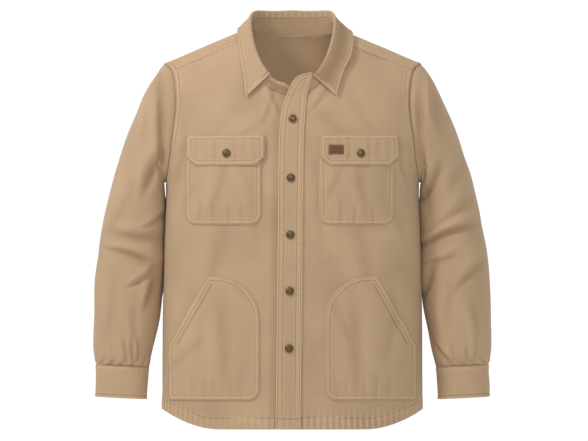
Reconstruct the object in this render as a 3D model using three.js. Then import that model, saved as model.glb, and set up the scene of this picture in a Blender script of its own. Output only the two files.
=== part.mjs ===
// A men's canvas shirt jacket, filled out as on a figure with no wearer: two fronts that lap at the
// snaps, a yoke over the shoulders, a back, set-in sleeves with cuffs, a two-piece collar, two chest
// pockets with flaps and two slant hand pockets.
// Millimetres, +Z up, -Y to the front, +X to the wearer's left. The origin lies on the middle plane,
// level with the neck end of the shoulder seams. Every cloth piece is a closed wall of even thickness.
import * as THREE from "three";

// ---------------------------------------------------------------- driving sizes
const CLOTH = 2; // wall of every cloth panel
const BAND = 2.6; // wall of the doubled pieces: collar, stand and cuffs
const SEAM_GAP = 0.3; // between two pieces sewn edge to edge
const LAY_GAP = 0.8; // between a panel and what is sewn on it
const FACES = { front: -1, back: 1 };

// Torso sections from hem to shoulder: half width, and depth in front of and behind the side seams.
const TORSO = [
  { height: -790, half: 248, front: 113, back: 107 },
  { height: -570, half: 247, front: 111, back: 101 },
  { height: -400, half: 244, front: 112, back: 99 },
  { height: -292, half: 241, front: 114, back: 103 },
  { height: -220, half: 248, front: 113, back: 108 },
  { height: -140, half: 257, front: 109, back: 108 },
  { height: -60, half: 272, front: 105, back: 106 },
  { height: 40, half: 282, front: 103, back: 104 },
];
const SQUARENESS = 2.4; // of a torso section, where 2 is an ellipse
const SHOULDER = { reach: 246, height: -63, slope: 0.44, neckRound: 40 };
const TURN = { front: -300, back: -220 }; // height where a face starts to lean to the shoulder line
const LEAN = { front: 1.7, back: 2 }; // how roundly it leans, where 2 is an ellipse

const HEM = { centre: -759, rise: 37, flat: 140, power: 1.9 };
const ARMPIT = -292;
const ARMHOLE = { front: 49, back: 55, narrowing: 6, frontCorner: 28, backCorner: 65 };
const NECK = { half: 88, front: 84, back: 54, frontSquare: 2.5, backSquare: 2.3 };
const YOKE_BACK = -130; // height of the yoke seam across the back
const NECK_MIDDLE = -8; // depth of a point inside the neckline, which the collar's outside faces away from
const NECK_CORNER = 106; // turn round the neck, from the middle of the back, of the front yoke seam

// The band along the lap of the wearer's left front: its free edge, and the matching point of its
// inner edge, from the hem to the collar. Above the neckline it stands on the collar stand.
const PLACKET = [
  { freeX: -31.7, freeZ: -758.5, innerX: 15.3, innerZ: -758.5 },
  { freeX: -29.5, freeZ: -560, innerX: 17.5, innerZ: -560 },
  { freeX: -27, freeZ: -340, innerX: 20, innerZ: -340 },
  { freeX: -25, freeZ: -200, innerX: 22, innerZ: -200 },
  { freeX: -21.6, freeZ: -160, innerX: 24, innerZ: -162 },
  { freeX: -16, freeZ: -135.6, innerX: 25.5, innerZ: -141 },
  { freeX: -10.5, freeZ: -122, innerX: 26.5, innerZ: -130 },
  { freeX: -3.1, freeZ: -104, innerX: 28.5, innerZ: -118 },
  { freeX: 6.5, freeZ: -90, innerX: 31, innerZ: -108 },
  { freeX: 16, freeZ: -84.6, innerX: 33.5, innerZ: -100 },
  { freeX: 28.5, freeZ: -81.6, innerX: 36, innerZ: -91 },
  { freeX: 36.5, freeZ: -80, innerX: 38.3, innerZ: -84.5 },
];
const LAP_EDGE = PLACKET.slice(0, 8); // the part of its free edge that the left front follows
const LAP_WIDTH = 47;
// Where the stand takes over from the front as the band's support: heights, the stand's slope and
// how softly the two supports are joined.
const PLACKET_RISE = { reach: -90, foot: -119, lean: 0.05, low: 40, soft: 1, off: 0.6 };
const UNDERLAP = 34; // how far the right front runs on beneath the lap
const UNDERLAP_BEND = 8; // how suddenly the rows of the underlap bend to the neckline at the top
const TUCK = { depth: CLOTH + 1.4, ease: 16 };

// Sleeve sections from shoulder to cuff: outer and inner points, half depth and middle depth.
const SLEEVE = [
  { outX: 259, outZ: -80, inX: 244, inZ: -290, deep: 54, mid: 4 },
  { outX: 274, outZ: -105, inX: 244, inZ: -297, deep: 59, mid: 10 },
  { outX: 295, outZ: -150, inX: 243, inZ: -310, deep: 64, mid: 18 },
  { outX: 317, outZ: -203, inX: 241, inZ: -327, deep: 67, mid: 25 },
  { outX: 336, outZ: -258, inX: 240, inZ: -349, deep: 68, mid: 30 },
  { outX: 351, outZ: -314, inX: 240, inZ: -376, deep: 68, mid: 32 },
  { outX: 362, outZ: -366, inX: 240, inZ: -408, deep: 67, mid: 32 },
  { outX: 371, outZ: -418, inX: 241, inZ: -445, deep: 66, mid: 30 },
  { outX: 377, outZ: -474, inX: 245, inZ: -490, deep: 64, mid: 27 },
  { outX: 379, outZ: -528, inX: 252, inZ: -538, deep: 61, mid: 21 },
  { outX: 380, outZ: -574, inX: 261, inZ: -581, deep: 56, mid: 15 },
  { outX: 380, outZ: -606, inX: 267, inZ: -611, deep: 50, mid: 10 },
  { outX: 378, outZ: -624, inX: 271, inZ: -629, deep: 44, mid: 7 },
  { outX: 375, outZ: -635, inX: 274, inZ: -640, deep: 36, mid: 5 },
];
const CUFF = [
  { outX: 375, outZ: -636, inX: 274, inZ: -641, deep: 35, mid: 5 },
  { outX: 376, outZ: -667, inX: 276, inZ: -672, deep: 35, mid: 3 },
  { outX: 377, outZ: -698, inX: 278, inZ: -703, deep: 34, mid: 1 },
];
const CUFF_LAP = { start: 110, over: 34 }; // degrees round the wrist, behind it
const CUFF_COLUMNS = 26; // of which the last ones lift off the band beneath
const CUFF_LIFT = { from: 0.835, over: 0.118 }; // shares of the way round
const SLEEVE_SQUARENESS = 2.2;
const SLEEVE_CLEAR = 1.6; // between a sleeve and the body beside it

// Soft folds of a sleeve: where the trough starts round the arm, how far down, its fall per degree,
// its half width down the arm, how many degrees it runs and how deep it is.
const SLEEVE_FOLDS = [
  { round: 120, down: 0.4, fall: 0.0002, wide: 0.018, runs: 70, deep: 5 },
  { round: 150, down: 0.5, fall: -0.0006, wide: 0.02, runs: 85, deep: 7 },
  { round: 140, down: 0.57, fall: 0.0005, wide: 0.017, runs: 70, deep: 6 },
  { round: 165, down: 0.64, fall: -0.0004, wide: 0.02, runs: 80, deep: 6 },
  { round: 215, down: 0.54, fall: 0.0004, wide: 0.02, runs: 75, deep: 6 },
  { round: 225, down: 0.46, fall: 0.0003, wide: 0.018, runs: 60, deep: 4 },
  { round: 75, down: 0.9, fall: 0, wide: 0.03, runs: 26, deep: 4 },
  { round: 105, down: 0.91, fall: 0, wide: 0.03, runs: 22, deep: 4 },
];
// Soft troughs of the body: middle, half width across and along, lean in x per z, and depth.
const BODY_FOLDS = [
  { face: "front", x: -120, z: -470, across: 26, along: 130, lean: 0.22, deep: 4 },
  { face: "front", x: 118, z: -480, across: 28, along: 140, lean: -0.24, deep: 4 },
  { face: "back", x: -150, z: -430, across: 24, along: 170, lean: 0.12, deep: 5 },
  { face: "back", x: 142, z: -450, across: 26, along: 160, lean: -0.12, deep: 5 },
  { face: "back", x: 8, z: -560, across: 30, along: 150, lean: 0.02, deep: 4 },
];

// Collar, by the turn round the neck in degrees from the middle of the back: height of the stand and
// its lean into the neck, then the roll of the leaf above it and the leaf's free edge in plan.
const STAND = [
  { turn: 0, tall: 31, lean: 4 },
  { turn: 45, tall: 30.5, lean: 5 },
  { turn: 65, tall: 23, lean: 7 },
  { turn: 80, tall: 16, lean: 8 },
  { turn: 92, tall: 13, lean: 7.5 },
  { turn: 108, tall: 15.5, lean: 5.5 },
  { turn: 130, tall: 20, lean: 3 },
  { turn: 184, tall: 22, lean: 1 },
];
const STAND_END = { right: 179, left: 174.5 }; // turns where the stand ends, the left one under the lap
const STAND_ROUND = 15; // how far from an end its top edge starts to fall
const STAND_TUCK = 12; // degrees over which the right end sinks
const STAND_FALL = 0.8; // share of its height that the top edge falls by
const STAND_LAP_RISE = 4; // the lapping side stands this much taller than the one beneath
const LEAF_END = { right: 155.4, left: 157.7 };
const LEAF = [
  { turn: 0, rise: 12, rightX: 0, rightY: 63, leftX: 0, leftY: 63 },
  { turn: 45, rise: 10.5, rightX: 73, rightY: 50, leftX: 75, leftY: 50 },
  { turn: 62, rise: 10.5, rightX: 88, rightY: 36, leftX: 92, leftY: 36 },
  { turn: 80, rise: 7.5, rightX: 97, rightY: 19, leftX: 104, leftY: 19 },
  { turn: 92, rise: 5.5, rightX: 101.5, rightY: 3, leftX: 110.5, leftY: 3 },
  { turn: 105, rise: 6.5, rightX: 103, rightY: -13, leftX: 114, leftY: -13 },
  { turn: 128, rise: 5, rightX: 100, rightY: -44, leftX: 110.5, leftY: -44 },
  { turn: 142, rise: 3.5, rightX: 93, rightY: -64, leftX: 95.5, leftY: -62 },
  { turn: 158, rise: 2, rightX: 88, rightY: -82, leftX: 83, leftY: -79.5 },
];
const LEAF_ROLL = 3.3; // radius of the fold at the top of the leaf
const LEAF_CLEAR = 3.5; // leaf edge above the shoulder
const LEAF_BELLY = 0.6; // how far the leaf bows out between its roll and its edge
const FRONT_END = 182; // turn round the neck where the left front ends

// Chest pocket and flap, and hand pocket, in front view. x runs from the wearer's right to left.
const CHEST = { left: -203, right: -59, top: -208, bottom: -370, corner: 22 };
const FLAP = { left: -200, right: -53, top: -199, side: -242, bottom: -258, cut: 17 };
const CHEST_SHIFT = 253; // from the right chest pocket to the left one
const HAND = {
  side: -236,
  inner: -62,
  peak: -162,
  top: -467,
  slantFoot: -600,
  bottom: -704,
  curve: 86,
  corner: 22,
};
const LABEL = { left: 68, right: 97, top: -219, bottom: -237 };

const SNAP = { radius: 8.2, dome: 3.2, rim: 1.2 };
const SNAP_HEIGHTS = [-169, -281, -389, -496, -605];
const FLAP_SNAP = { x: -124, height: -235 };

// ---------------------------------------------------------------- colours
const finish = (color, roughness, metalness = 0) =>
  new THREE.MeshStandardMaterial({ color, roughness, metalness });
const CANVAS = finish(0xb8946c, 0.92);
const LEATHER = finish(0x6a4630, 0.7);
const BRASS = finish(0x5c4c2c, 0.45, 0.85);

// ---------------------------------------------------------------- small helpers
const RAD = Math.PI / 180;
const mix = (a, b, t) => a + (b - a) * t;
const clamp = (v, low, high) => Math.min(high, Math.max(low, v));
const ease = (t) => clamp(t, 0, 1) ** 2 * (3 - 2 * clamp(t, 0, 1));
const steps = (n) => Array.from({ length: n + 1 }, (_, i) => i / n);
const power = (v, e) => Math.sign(v) * Math.abs(v) ** e;
const vec = (x, y, z) => new THREE.Vector3(x, y, z);

// A smooth cubic through four values, at t from the second to the third.
function cubic(a, b, c, d, t) {
  return b + 0.5 * t * (c - a + t * (2 * a - 5 * b + 4 * c - d + t * (3 * (b - c) + d - a)));
}

// One column of a table, read at a value of its key column, with slopes from the rows beside it.
function read(table, key, at, column) {
  const sign = table.at(-1)[key] > table[0][key] ? 1 : -1;
  let i = 0;
  while (i < table.length - 2 && sign * at > sign * table[i + 1][key]) i += 1;
  const [low, high] = [table[i], table[i + 1]];
  const span = high[key] - low[key];
  const slope = (a, b) => (b[column] - a[column]) / (b[key] - a[key]);
  const here = slope(low, high);
  const before = i > 0 ? (slope(table[i - 1], low) + here) / 2 : here;
  const after = i < table.length - 2 ? (slope(high, table[i + 2]) + here) / 2 : here;
  const t = clamp((at - low[key]) / span, 0, 1);
  const [t2, t3] = [t * t, t * t * t];
  return (
    low[column] * (2 * t3 - 3 * t2 + 1) +
    high[column] * (3 * t2 - 2 * t3) +
    span * (before * (t3 - 2 * t2 + t) + after * (t3 - t2))
  );
}

// ---------------------------------------------------------------- the torso's outer surface
const torsoHalf = (z) => read(TORSO, "height", z, "half");

function shoulderLine(x) {
  const from = Math.hypot(SHOULDER.reach, SHOULDER.neckRound);
  return SHOULDER.height + SHOULDER.slope * (from - Math.hypot(x, SHOULDER.neckRound));
}

// Share of a face's depth that is left at x across a section, and at z up to the shoulder line.
const across = (x, z) => Math.max(0, 1 - (Math.abs(x) / torsoHalf(z)) ** SQUARENESS) ** (1 / SQUARENESS);
function closing(face, x, z) {
  const q = clamp((z - TURN[face]) / (shoulderLine(x) - TURN[face]), 0, 1);
  return Math.max(0, 1 - q ** LEAN[face]) ** (1 / LEAN[face]);
}
const depth = (face, x, z) => read(TORSO, "height", z, face) * across(x, z) * closing(face, x, z);

// Depth of the body's soft troughs at a point of a face, nothing at the seams round it.
function bodyFold(face, x, z) {
  let sum = 0;
  for (const fold of BODY_FOLDS) {
    if (fold.face !== face) continue;
    const off = (x - fold.x - fold.lean * (z - fold.z)) / fold.across;
    const along = (z - fold.z) / fold.along;
    sum += fold.deep * Math.exp(-off * off - along * along);
  }
  return sum * ease((torsoHalf(z) - Math.abs(x)) / 30);
}

// A point of a face by its turn g round the section, in radians from the middle, and its height.
function facePoint(face, g, z) {
  const x = torsoHalf(z) * power(Math.sin(g), 2 / SQUARENESS);
  const y = read(TORSO, "height", z, face) * power(Math.cos(g), 2 / SQUARENESS) * closing(face, x, z);
  return vec(x, FACES[face] * y, z);
}
const turnAt = (x, z) => Math.asin(clamp(power(x / torsoHalf(z), SQUARENESS / 2), -1, 1));

// Small steps over which normals are found: turn, height, x and ridge angle.
const STEP = { g: 0.004, z: 0.4, x: 0.5, a: 0.006 };
// A sample is a point on the outer surface with its outward normal.
function faceSample(face, g, z, sink = 0) {
  const { g: dg, z: dz } = STEP;
  const round = facePoint(face, g + dg, z).sub(facePoint(face, g - dg, z));
  const up = facePoint(face, g, z + dz).sub(facePoint(face, g, z - dz));
  const normal = round.cross(up).normalize();
  if (normal.y * FACES[face] < -1e-6 || normal.x * Math.sin(g) < -1e-3) normal.negate();
  const point = facePoint(face, g, z);
  return { point: point.addScaledVector(normal, -bodyFold(face, point.x, z) - sink), normal };
}
const frontSample = (x, z, sink = 0) => faceSample("front", turnAt(x, z), z, sink);
const lifted = (sample, by) => ({
  point: sample.point.clone().addScaledVector(sample.normal, by),
  normal: sample.normal,
});

// A point over the shoulder by x and by the angle a from the ridge, forward where it is negative.
function ridgePoint(x, a) {
  const face = a < 0 ? "front" : "back";
  const z = TURN[face] + (shoulderLine(x) - TURN[face]) * Math.cos(a) ** (2 / LEAN[face]);
  const y = read(TORSO, "height", z, face) * across(x, z) * Math.abs(Math.sin(a)) ** (2 / LEAN[face]);
  return vec(x, FACES[face] * y, z);
}
function ridgeSample(x, a) {
  const { x: dx, a: da } = STEP;
  const sideways = ridgePoint(x + dx, a).sub(ridgePoint(x - dx, a));
  const over = ridgePoint(x, a + da).sub(ridgePoint(x, a - da));
  const normal = sideways.cross(over).normalize();
  if (normal.z < 0) normal.negate();
  return { point: ridgePoint(x, a), normal };
}
function ridgeAngle(face, x, z) {
  const q = clamp((z - TURN[face]) / (shoulderLine(x) - TURN[face]), 0, 1);
  return FACES[face] * Math.acos(q ** (LEAN[face] / 2));
}

const PASSES = { settle: 12, halve: 50 }; // repeats until a height settles, and of halving a range

// Height of the top of the body over a point in plan, found by repeating the depth rule.
function topHeight(x, y) {
  const face = y < 0 ? "front" : "back";
  let z = shoulderLine(x);
  for (let pass = 0; pass < PASSES.settle; pass += 1) {
    const share = clamp(Math.abs(y) / (read(TORSO, "height", z, face) * across(x, z)), 0, 0.999);
    const q = (1 - share ** LEAN[face]) ** (1 / LEAN[face]);
    z = TURN[face] + q * (shoulderLine(x) - TURN[face]);
  }
  return z;
}

// ---------------------------------------------------------------- the shared seam lines
// The armhole by its turn in degrees from the shoulder tip, forward where it is positive. It is an egg
// in side view, and its x is found where the body has that depth.
function armholePoint(turn) {
  const face = turn >= 0 ? "front" : "back";
  const reach = (SHOULDER.height - ARMPIT) / 2;
  const z = ARMPIT + reach * (1 + Math.cos(turn * RAD));
  const y = (ARMHOLE[face] - ARMHOLE.narrowing * Math.cos(turn * RAD)) * Math.abs(Math.sin(turn * RAD));
  let [low, high] = [0.5 * SHOULDER.reach, torsoHalf(z)];
  for (let pass = 0; pass < PASSES.halve; pass += 1) {
    const x = (low + high) / 2;
    if (depth(face, x, z) > y) low = x;
    else high = x;
  }
  return vec(low, FACES[face] * y, z);
}

// The neckline by its turn in degrees from the middle of the back, 180 at the middle of the front.
function neckPoint(turn) {
  const [c, s] = [Math.cos(turn * RAD), Math.sin(turn * RAD)];
  const square = c < 0 ? NECK.frontSquare : NECK.backSquare;
  const x = NECK.half * power(s, 2 / square);
  const y = (c < 0 ? NECK.front : NECK.back) * power(c, 2 / square);
  return vec(x, y, topHeight(x, y));
}

// Depth of the front neckline at x.
function frontNeckDepth(x) {
  return -NECK.front * (1 - (Math.abs(x) / NECK.half) ** NECK.frontSquare) ** (1 / NECK.frontSquare);
}
const neckTurnAt = (x) => 180 - Math.asin((x / NECK.half) ** (NECK.frontSquare / 2)) / RAD;
const NECK_FRONT = neckPoint(180);

function hemHeight(x) {
  const share = clamp((Math.abs(x) - HEM.flat) / (torsoHalf(HEM.centre) - HEM.flat), 0, 1);
  return HEM.centre + HEM.rise * share ** HEM.power;
}

const COUNT = {
  side: 14,
  frontArmhole: 11,
  overArmhole: 6,
  backArmhole: 7,
  shoulder: 9,
  neck: 8,
  backWide: 20,
};
const SIDE_HEIGHTS = steps(COUNT.side).map((t) => mix(HEM.centre + HEM.rise, ARMPIT, t));
const FRONT_TURNS = steps(COUNT.frontArmhole).map((t) => mix(180, ARMHOLE.frontCorner, t));
const OVER_TURNS = steps(COUNT.overArmhole).map((t) => mix(ARMHOLE.frontCorner, -ARMHOLE.backCorner, t));
const BACK_TURNS = steps(COUNT.backArmhole).map((t) => mix(-180, -ARMHOLE.backCorner, t));

// ---------------------------------------------------------------- walls
// A closed wall from a grid of samples: the outer skin, the inner skin one thickness in, and the rims.
function wallGeometry(grid, thickness, ring = false) {
  const [rows, cols] = [grid.length, grid[0].length];
  const positions = [];
  for (const inward of [0, thickness])
    for (const row of grid)
      for (const { point, normal } of row)
        positions.push(...point.clone().addScaledVector(normal, -inward).toArray());
  const at = (layer, i, j) => (layer * rows + i) * cols + (j % cols);
  const index = [];
  const quad = (a, b, c, d) => index.push(a, b, c, a, c, d); // split from a to c
  const wide = ring ? cols : cols - 1;
  for (let i = 0; i < rows - 1; i += 1)
    for (let j = 0; j < wide; j += 1) {
      const [a, b] = [grid[i][j].point, grid[i][(j + 1) % cols].point];
      const [c, d] = [grid[i + 1][(j + 1) % cols].point, grid[i + 1][j].point];
      if (a.distanceTo(c) <= b.distanceTo(d)) {
        quad(at(0, i, j), at(0, i, j + 1), at(0, i + 1, j + 1), at(0, i + 1, j));
        quad(at(1, i, j), at(1, i + 1, j), at(1, i + 1, j + 1), at(1, i, j + 1));
      } else {
        quad(at(0, i, j + 1), at(0, i + 1, j + 1), at(0, i + 1, j), at(0, i, j));
        quad(at(1, i, j + 1), at(1, i, j), at(1, i + 1, j), at(1, i + 1, j + 1));
      }
    }
  for (let j = 0; j < wide; j += 1) {
    quad(at(0, 0, j), at(1, 0, j), at(1, 0, j + 1), at(0, 0, j + 1));
    quad(at(0, rows - 1, j), at(0, rows - 1, j + 1), at(1, rows - 1, j + 1), at(1, rows - 1, j));
  }
  if (!ring)
    for (let i = 0; i < rows - 1; i += 1) {
      quad(at(0, i, 0), at(0, i + 1, 0), at(1, i + 1, 0), at(1, i, 0));
      quad(at(0, i, cols - 1), at(1, i, cols - 1), at(1, i + 1, cols - 1), at(0, i + 1, cols - 1));
    }
  if (signedVolume(positions, index) < 0)
    for (let k = 0; k < index.length; k += 3) [index[k + 1], index[k + 2]] = [index[k + 2], index[k + 1]];
  const geometry = new THREE.BufferGeometry();
  geometry.setAttribute("position", new THREE.Float32BufferAttribute(positions, 3));
  geometry.setIndex(index);
  geometry.computeVertexNormals();
  return geometry;
}

function signedVolume(positions, index) {
  const corner = (k) => vec(...positions.slice(3 * index[k], 3 * index[k] + 3));
  let sum = 0;
  for (let k = 0; k < index.length; k += 3) sum += corner(k).dot(corner(k + 1).cross(corner(k + 2)));
  return sum;
}

const garment = new THREE.Group();
function add(name, geometry, material) {
  const mesh = new THREE.Mesh(geometry, material);
  mesh.name = name;
  garment.add(mesh);
  return mesh;
}
const mirrored = (sample) => ({
  point: sample.point.clone().multiply(vec(-1, 1, 1)),
  normal: sample.normal.clone().multiply(vec(-1, 1, 1)),
});

// Points inside four edge curves, each a list of [g, z] pairs, blended from all four.
function patch(bottom, top, left, right) {
  const [rows, cols] = [left.length - 1, bottom.length - 1];
  return left.map((_, i) =>
    bottom.map((_, j) => {
      const [v, u] = [i / rows, j / cols];
      return [0, 1].map(
        (k) =>
          mix(left[i][k], right[i][k], u) +
          mix(bottom[j][k], top[j][k], v) -
          mix(mix(left[0][k], right[0][k], u), mix(left[rows][k], right[rows][k], u), v),
      );
    }),
  );
}

// ---------------------------------------------------------------- fronts
const lapEdge = (z) => read(LAP_EDGE, "freeZ", z, "freeX");

// Side seam and armhole of a face as [g, z], for the side where x is positive.
function sideEdge(face, turns) {
  const seam = SIDE_HEIGHTS.map((z) => {
    const share = SEAM_GAP / 2 / read(TORSO, "height", z, face);
    return [Math.acos(share ** (SQUARENESS / 2)), z];
  });
  const armhole = turns.slice(1).map((turn) => {
    const at = armholePoint(turn);
    return [turnAt(at.x, at.z), at.z];
  });
  return [...seam, ...armhole];
}

// One front, drawn for x positive: its hem, side, shoulder and neck, and the edge at the middle.
// side is 1 for the wearer's left, which laps over the other; the right one runs on beneath it.
function frontGrid(side) {
  const outer = sideEdge("front", FRONT_TURNS);
  const endTurn = side > 0 ? FRONT_END : neckTurnAt(TUCK.ease - lapEdge(NECK_FRONT.z));
  const shoulder = yokeFrontSeam().map(({ x, a }) => {
    const z = ridgePoint(x, a).z - SEAM_GAP;
    return [turnAt(x, z), z];
  });
  outer[outer.length - 1] = shoulder[0];
  const neck = steps(COUNT.neck)
    .slice(1)
    .map((t) => {
      const at = neckPoint(mix(NECK_CORNER, endTurn, t));
      return [turnAt(at.x, at.z), at.z];
    });
  const top = [...shoulder, ...neck];
  const endZ = top.at(-1)[1];
  const edge = (z) => (side > 0 ? lapEdge(z) : TUCK.ease - lapEdge(z));
  const middle = steps(outer.length - 1).map((t) => {
    const z = mix(hemHeight(0), endZ, t);
    return [turnAt(edge(z), z), z];
  });
  middle[middle.length - 1] = top.at(-1);
  const hem = hemEdge(outer[0], middle[0], COUNT.shoulder + COUNT.neck);
  const rows = patch(hem, top, outer, middle);
  if (side < 0)
    for (const row of rows) {
      const z = row.at(-1)[1];
      const share = (z - hemHeight(0)) / (endZ - hemHeight(0));
      for (const on of [-1, UNDERLAP / 2, UNDERLAP]) {
        const x = -lapEdge(z) - on;
        const down = endZ - topHeight(x, frontNeckDepth(x));
        row.push([turnAt(x, z), z - down * share ** UNDERLAP_BEND]);
      }
    }
  return rows.map((row) =>
    row.map(([g, z]) => {
      const x = torsoHalf(z) * power(Math.sin(g), 2 / SQUARENESS);
      return faceSample("front", side * g, z, side > 0 ? 0 : tuck(-x, z));
    }),
  );
}

// The hem between two corners, evenly round the section.
function hemEdge(from, to, count) {
  return steps(count).map((t) => {
    const g = mix(from[0], to[0], t);
    return [g, t === 0 ? from[1] : hemHeight(torsoHalf(HEM.centre) * power(Math.sin(g), 2 / SQUARENESS))];
  });
}

// How far the right front sinks behind the lap at x.
const tuck = (x, z) => TUCK.depth * ease((x - lapEdge(z) + TUCK.ease) / TUCK.ease);

// The yoke's front seam from armhole to neck, as x and ridge angle, straight between its corners.
function yokeFrontSeam() {
  const tip = armholePoint(ARMHOLE.frontCorner);
  const neck = neckPoint(NECK_CORNER);
  const from = { x: tip.x, a: ridgeAngle("front", tip.x, tip.z) };
  const to = { x: neck.x, a: ridgeAngle("front", neck.x, neck.z) };
  return steps(COUNT.shoulder).map((t) => ({ x: mix(from.x, to.x, t), a: mix(from.a, to.a, t) }));
}

// ---------------------------------------------------------------- yoke and back
function backSeamX() {
  const reach = armholePoint(-ARMHOLE.backCorner).x;
  return steps(COUNT.backWide).map((t) => mix(reach, -reach, t));
}

// The yoke runs from the neckline out to the armholes and the back seam, row by row round the neck.
function yokeGrid() {
  const over = OVER_TURNS.map((turn) => {
    const at = armholePoint(turn);
    return { x: at.x, a: ridgeAngle(turn >= 0 ? "front" : "back", at.x, at.z) };
  });
  const seam = backSeamX()
    .slice(1, -1)
    .map((x) => ({ x, a: ridgeAngle("back", x, YOKE_BACK) }));
  const rim = [...over, ...seam, ...over.map(({ x, a }) => ({ x: -x, a })).reverse()];
  const last = rim.length - 1;
  return rim.map((out, i) => {
    const turn = yokeTurn(i, last);
    const at = neckPoint(Math.abs(turn));
    const x = at.x * Math.sign(turn || 1);
    const inner = { x, a: ridgeAngle(at.y < 0 ? "front" : "back", at.x, at.z) };
    return steps(COUNT.shoulder).map((t) => ridgeSample(mix(out.x, inner.x, t), mix(out.a, inner.a, t)));
  });
}

function backGrid() {
  const right = sideEdge("back", BACK_TURNS);
  const top = backSeamX().map((x) => [turnAt(x, YOKE_BACK - SEAM_GAP), YOKE_BACK - SEAM_GAP]);
  right[right.length - 1] = top[0];
  const left = right.map(([g, z]) => [-g, z]);
  const hem = hemEdge(right[0], left[0], COUNT.backWide);
  return patch(hem, top, right, left).map((row) => row.map(([g, z]) => faceSample("back", g, z)));
}

// ---------------------------------------------------------------- sleeves
const LOOP_TURNS = [
  ...FRONT_TURNS.slice(0, -1),
  ...OVER_TURNS.slice(0, -1),
  ...BACK_TURNS.slice(1).reverse(),
];

// A ring of a sleeve or cuff from its table row, by turn in degrees from the outer point, front first.
function ringPoint(section, turn) {
  const round = (v) => power(v, 2 / SLEEVE_SQUARENESS);
  const share = (1 + round(Math.cos(turn * RAD))) / 2;
  const point = vec(
    mix(section.inX, section.outX, share),
    section.mid - section.deep * round(Math.sin(turn * RAD)),
    mix(section.inZ, section.outZ, share),
  );
  point.x = Math.max(point.x, bodySide(point.y, point.z) + SLEEVE_CLEAR);
  return point;
}

// Half width of the body at a depth y, nothing above the armpit.
function bodySide(y, z) {
  if (z > ARMPIT) return 0;
  const deep = read(TORSO, "height", z, y < 0 ? "front" : "back");
  const share = clamp(Math.abs(y) / deep, 0, 1);
  return torsoHalf(z) * (1 - share ** SQUARENESS) ** (1 / SQUARENESS);
}

// Outward normals of a grid whose columns close into a ring, from its neighbours.
function ringNormals(points) {
  const middle = (row) => row.reduce((sum, p) => sum.add(p), vec(0, 0, 0)).divideScalar(row.length);
  return points.map((row, i) => {
    const centre = middle(row);
    return row.map((point, j) => {
      const cols = row.length;
      const round = row[(j + 1) % cols].clone().sub(row[(j + cols - 1) % cols]);
      const [above, below] = [points[Math.max(0, i - 1)][j], points[Math.min(points.length - 1, i + 1)][j]];
      const normal = round.cross(below.clone().sub(above)).normalize();
      if (normal.dot(point.clone().sub(centre)) < 0) normal.negate();
      return normal;
    });
  });
}

function sleeveFold(turn, down) {
  let sum = 0;
  const round = (turn + 360) % 360;
  for (const fold of SLEEVE_FOLDS) {
    const along = (down - fold.down - fold.fall * (round - fold.round)) / fold.wide;
    const about = (round - fold.round) / fold.runs;
    sum += fold.deep * Math.exp(-along * along - about * about * 4);
  }
  return sum;
}

const SLEEVE_RINGS = 21;
// The sleeve's first ring turns with the body over this range of the turn's cosine, and lies outwards.
const SLEEVE_HEAD = { from: -0.55, over: 0.8, out: 0.6 };
function sleeveGrid() {
  const loop = LOOP_TURNS.map((turn) => armholePoint(turn));
  const keys = [loop, ...SLEEVE.map((section) => LOOP_TURNS.map((turn) => ringPoint(section, turn)))];
  const last = keys.length - 1;
  const points = steps(SLEEVE_RINGS).map((t) => {
    const k = Math.min(last - 1, Math.floor(t * last));
    const key = (n, j) => keys[clamp(n, 0, last)][j];
    return LOOP_TURNS.map((_, j) => {
      const four = [k - 1, k, k + 1, k + 2].map((n) => key(n, j));
      const at = (axis) => cubic(...four.map((p) => p[axis]), t * last - k);
      return vec(at("x"), at("y"), at("z"));
    });
  });
  const smooth = ringNormals(points);
  const folded = points.map((row, i) =>
    row.map((point, j) => {
      const sunk = sleeveFold(LOOP_TURNS[j], i / SLEEVE_RINGS);
      return point.clone().addScaledVector(smooth[i][j], -sunk);
    }),
  );
  const normals = ringNormals(folded);
  return folded.map((row, i) =>
    row.map((point, j) => {
      if (i > 0) return { point, normal: normals[i][j] };
      const body = armholeNormal(LOOP_TURNS[j]);
      const share = ease((Math.cos(LOOP_TURNS[j] * RAD) - SLEEVE_HEAD.from) / SLEEVE_HEAD.over);
      const normal = normals[0][j].clone().lerp(body, share).normalize();
      const outward = folded[1][j].clone().sub(point).normalize();
      outward.x += SLEEVE_HEAD.out;
      return { point: point.clone().addScaledVector(outward.normalize(), 2 * SEAM_GAP), normal };
    }),
  );
}

function armholeNormal(turn) {
  const at = armholePoint(turn);
  const face = turn >= 0 ? "front" : "back";
  if (Math.abs(turn) < 80) return ridgeSample(at.x, ridgeAngle(face, at.x, at.z)).normal;
  return faceSample(face, turnAt(at.x, at.z), at.z).normal;
}

// The cuff is a band that laps itself at the back of the wrist, its outer end lying on the inner one.
function cuffGrid() {
  const turns = steps(CUFF_COLUMNS).map((t) => -CUFF_LAP.start + t * (360 + CUFF_LAP.over));
  const points = CUFF.map((section) => turns.map((turn) => ringPoint(section, turn)));
  const centres = CUFF.map((s) => vec((s.inX + s.outX) / 2, s.mid, (s.inZ + s.outZ) / 2));
  return points.map((row, i) =>
    row.map((point, j) => {
      const [before, after] = [row[Math.max(0, j - 1)], row[Math.min(row.length - 1, j + 1)]];
      const down = points[Math.min(2, i + 1)][j].clone().sub(points[Math.max(0, i - 1)][j]);
      const normal = after.clone().sub(before).cross(down).normalize();
      if (normal.dot(point.clone().sub(centres[i])) < 0) normal.negate();
      const lift = (BAND + 2 * SEAM_GAP) * ease((j / CUFF_COLUMNS - CUFF_LIFT.from) / CUFF_LIFT.over);
      return { point: point.clone().addScaledVector(normal, lift), normal };
    }),
  );
}

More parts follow.
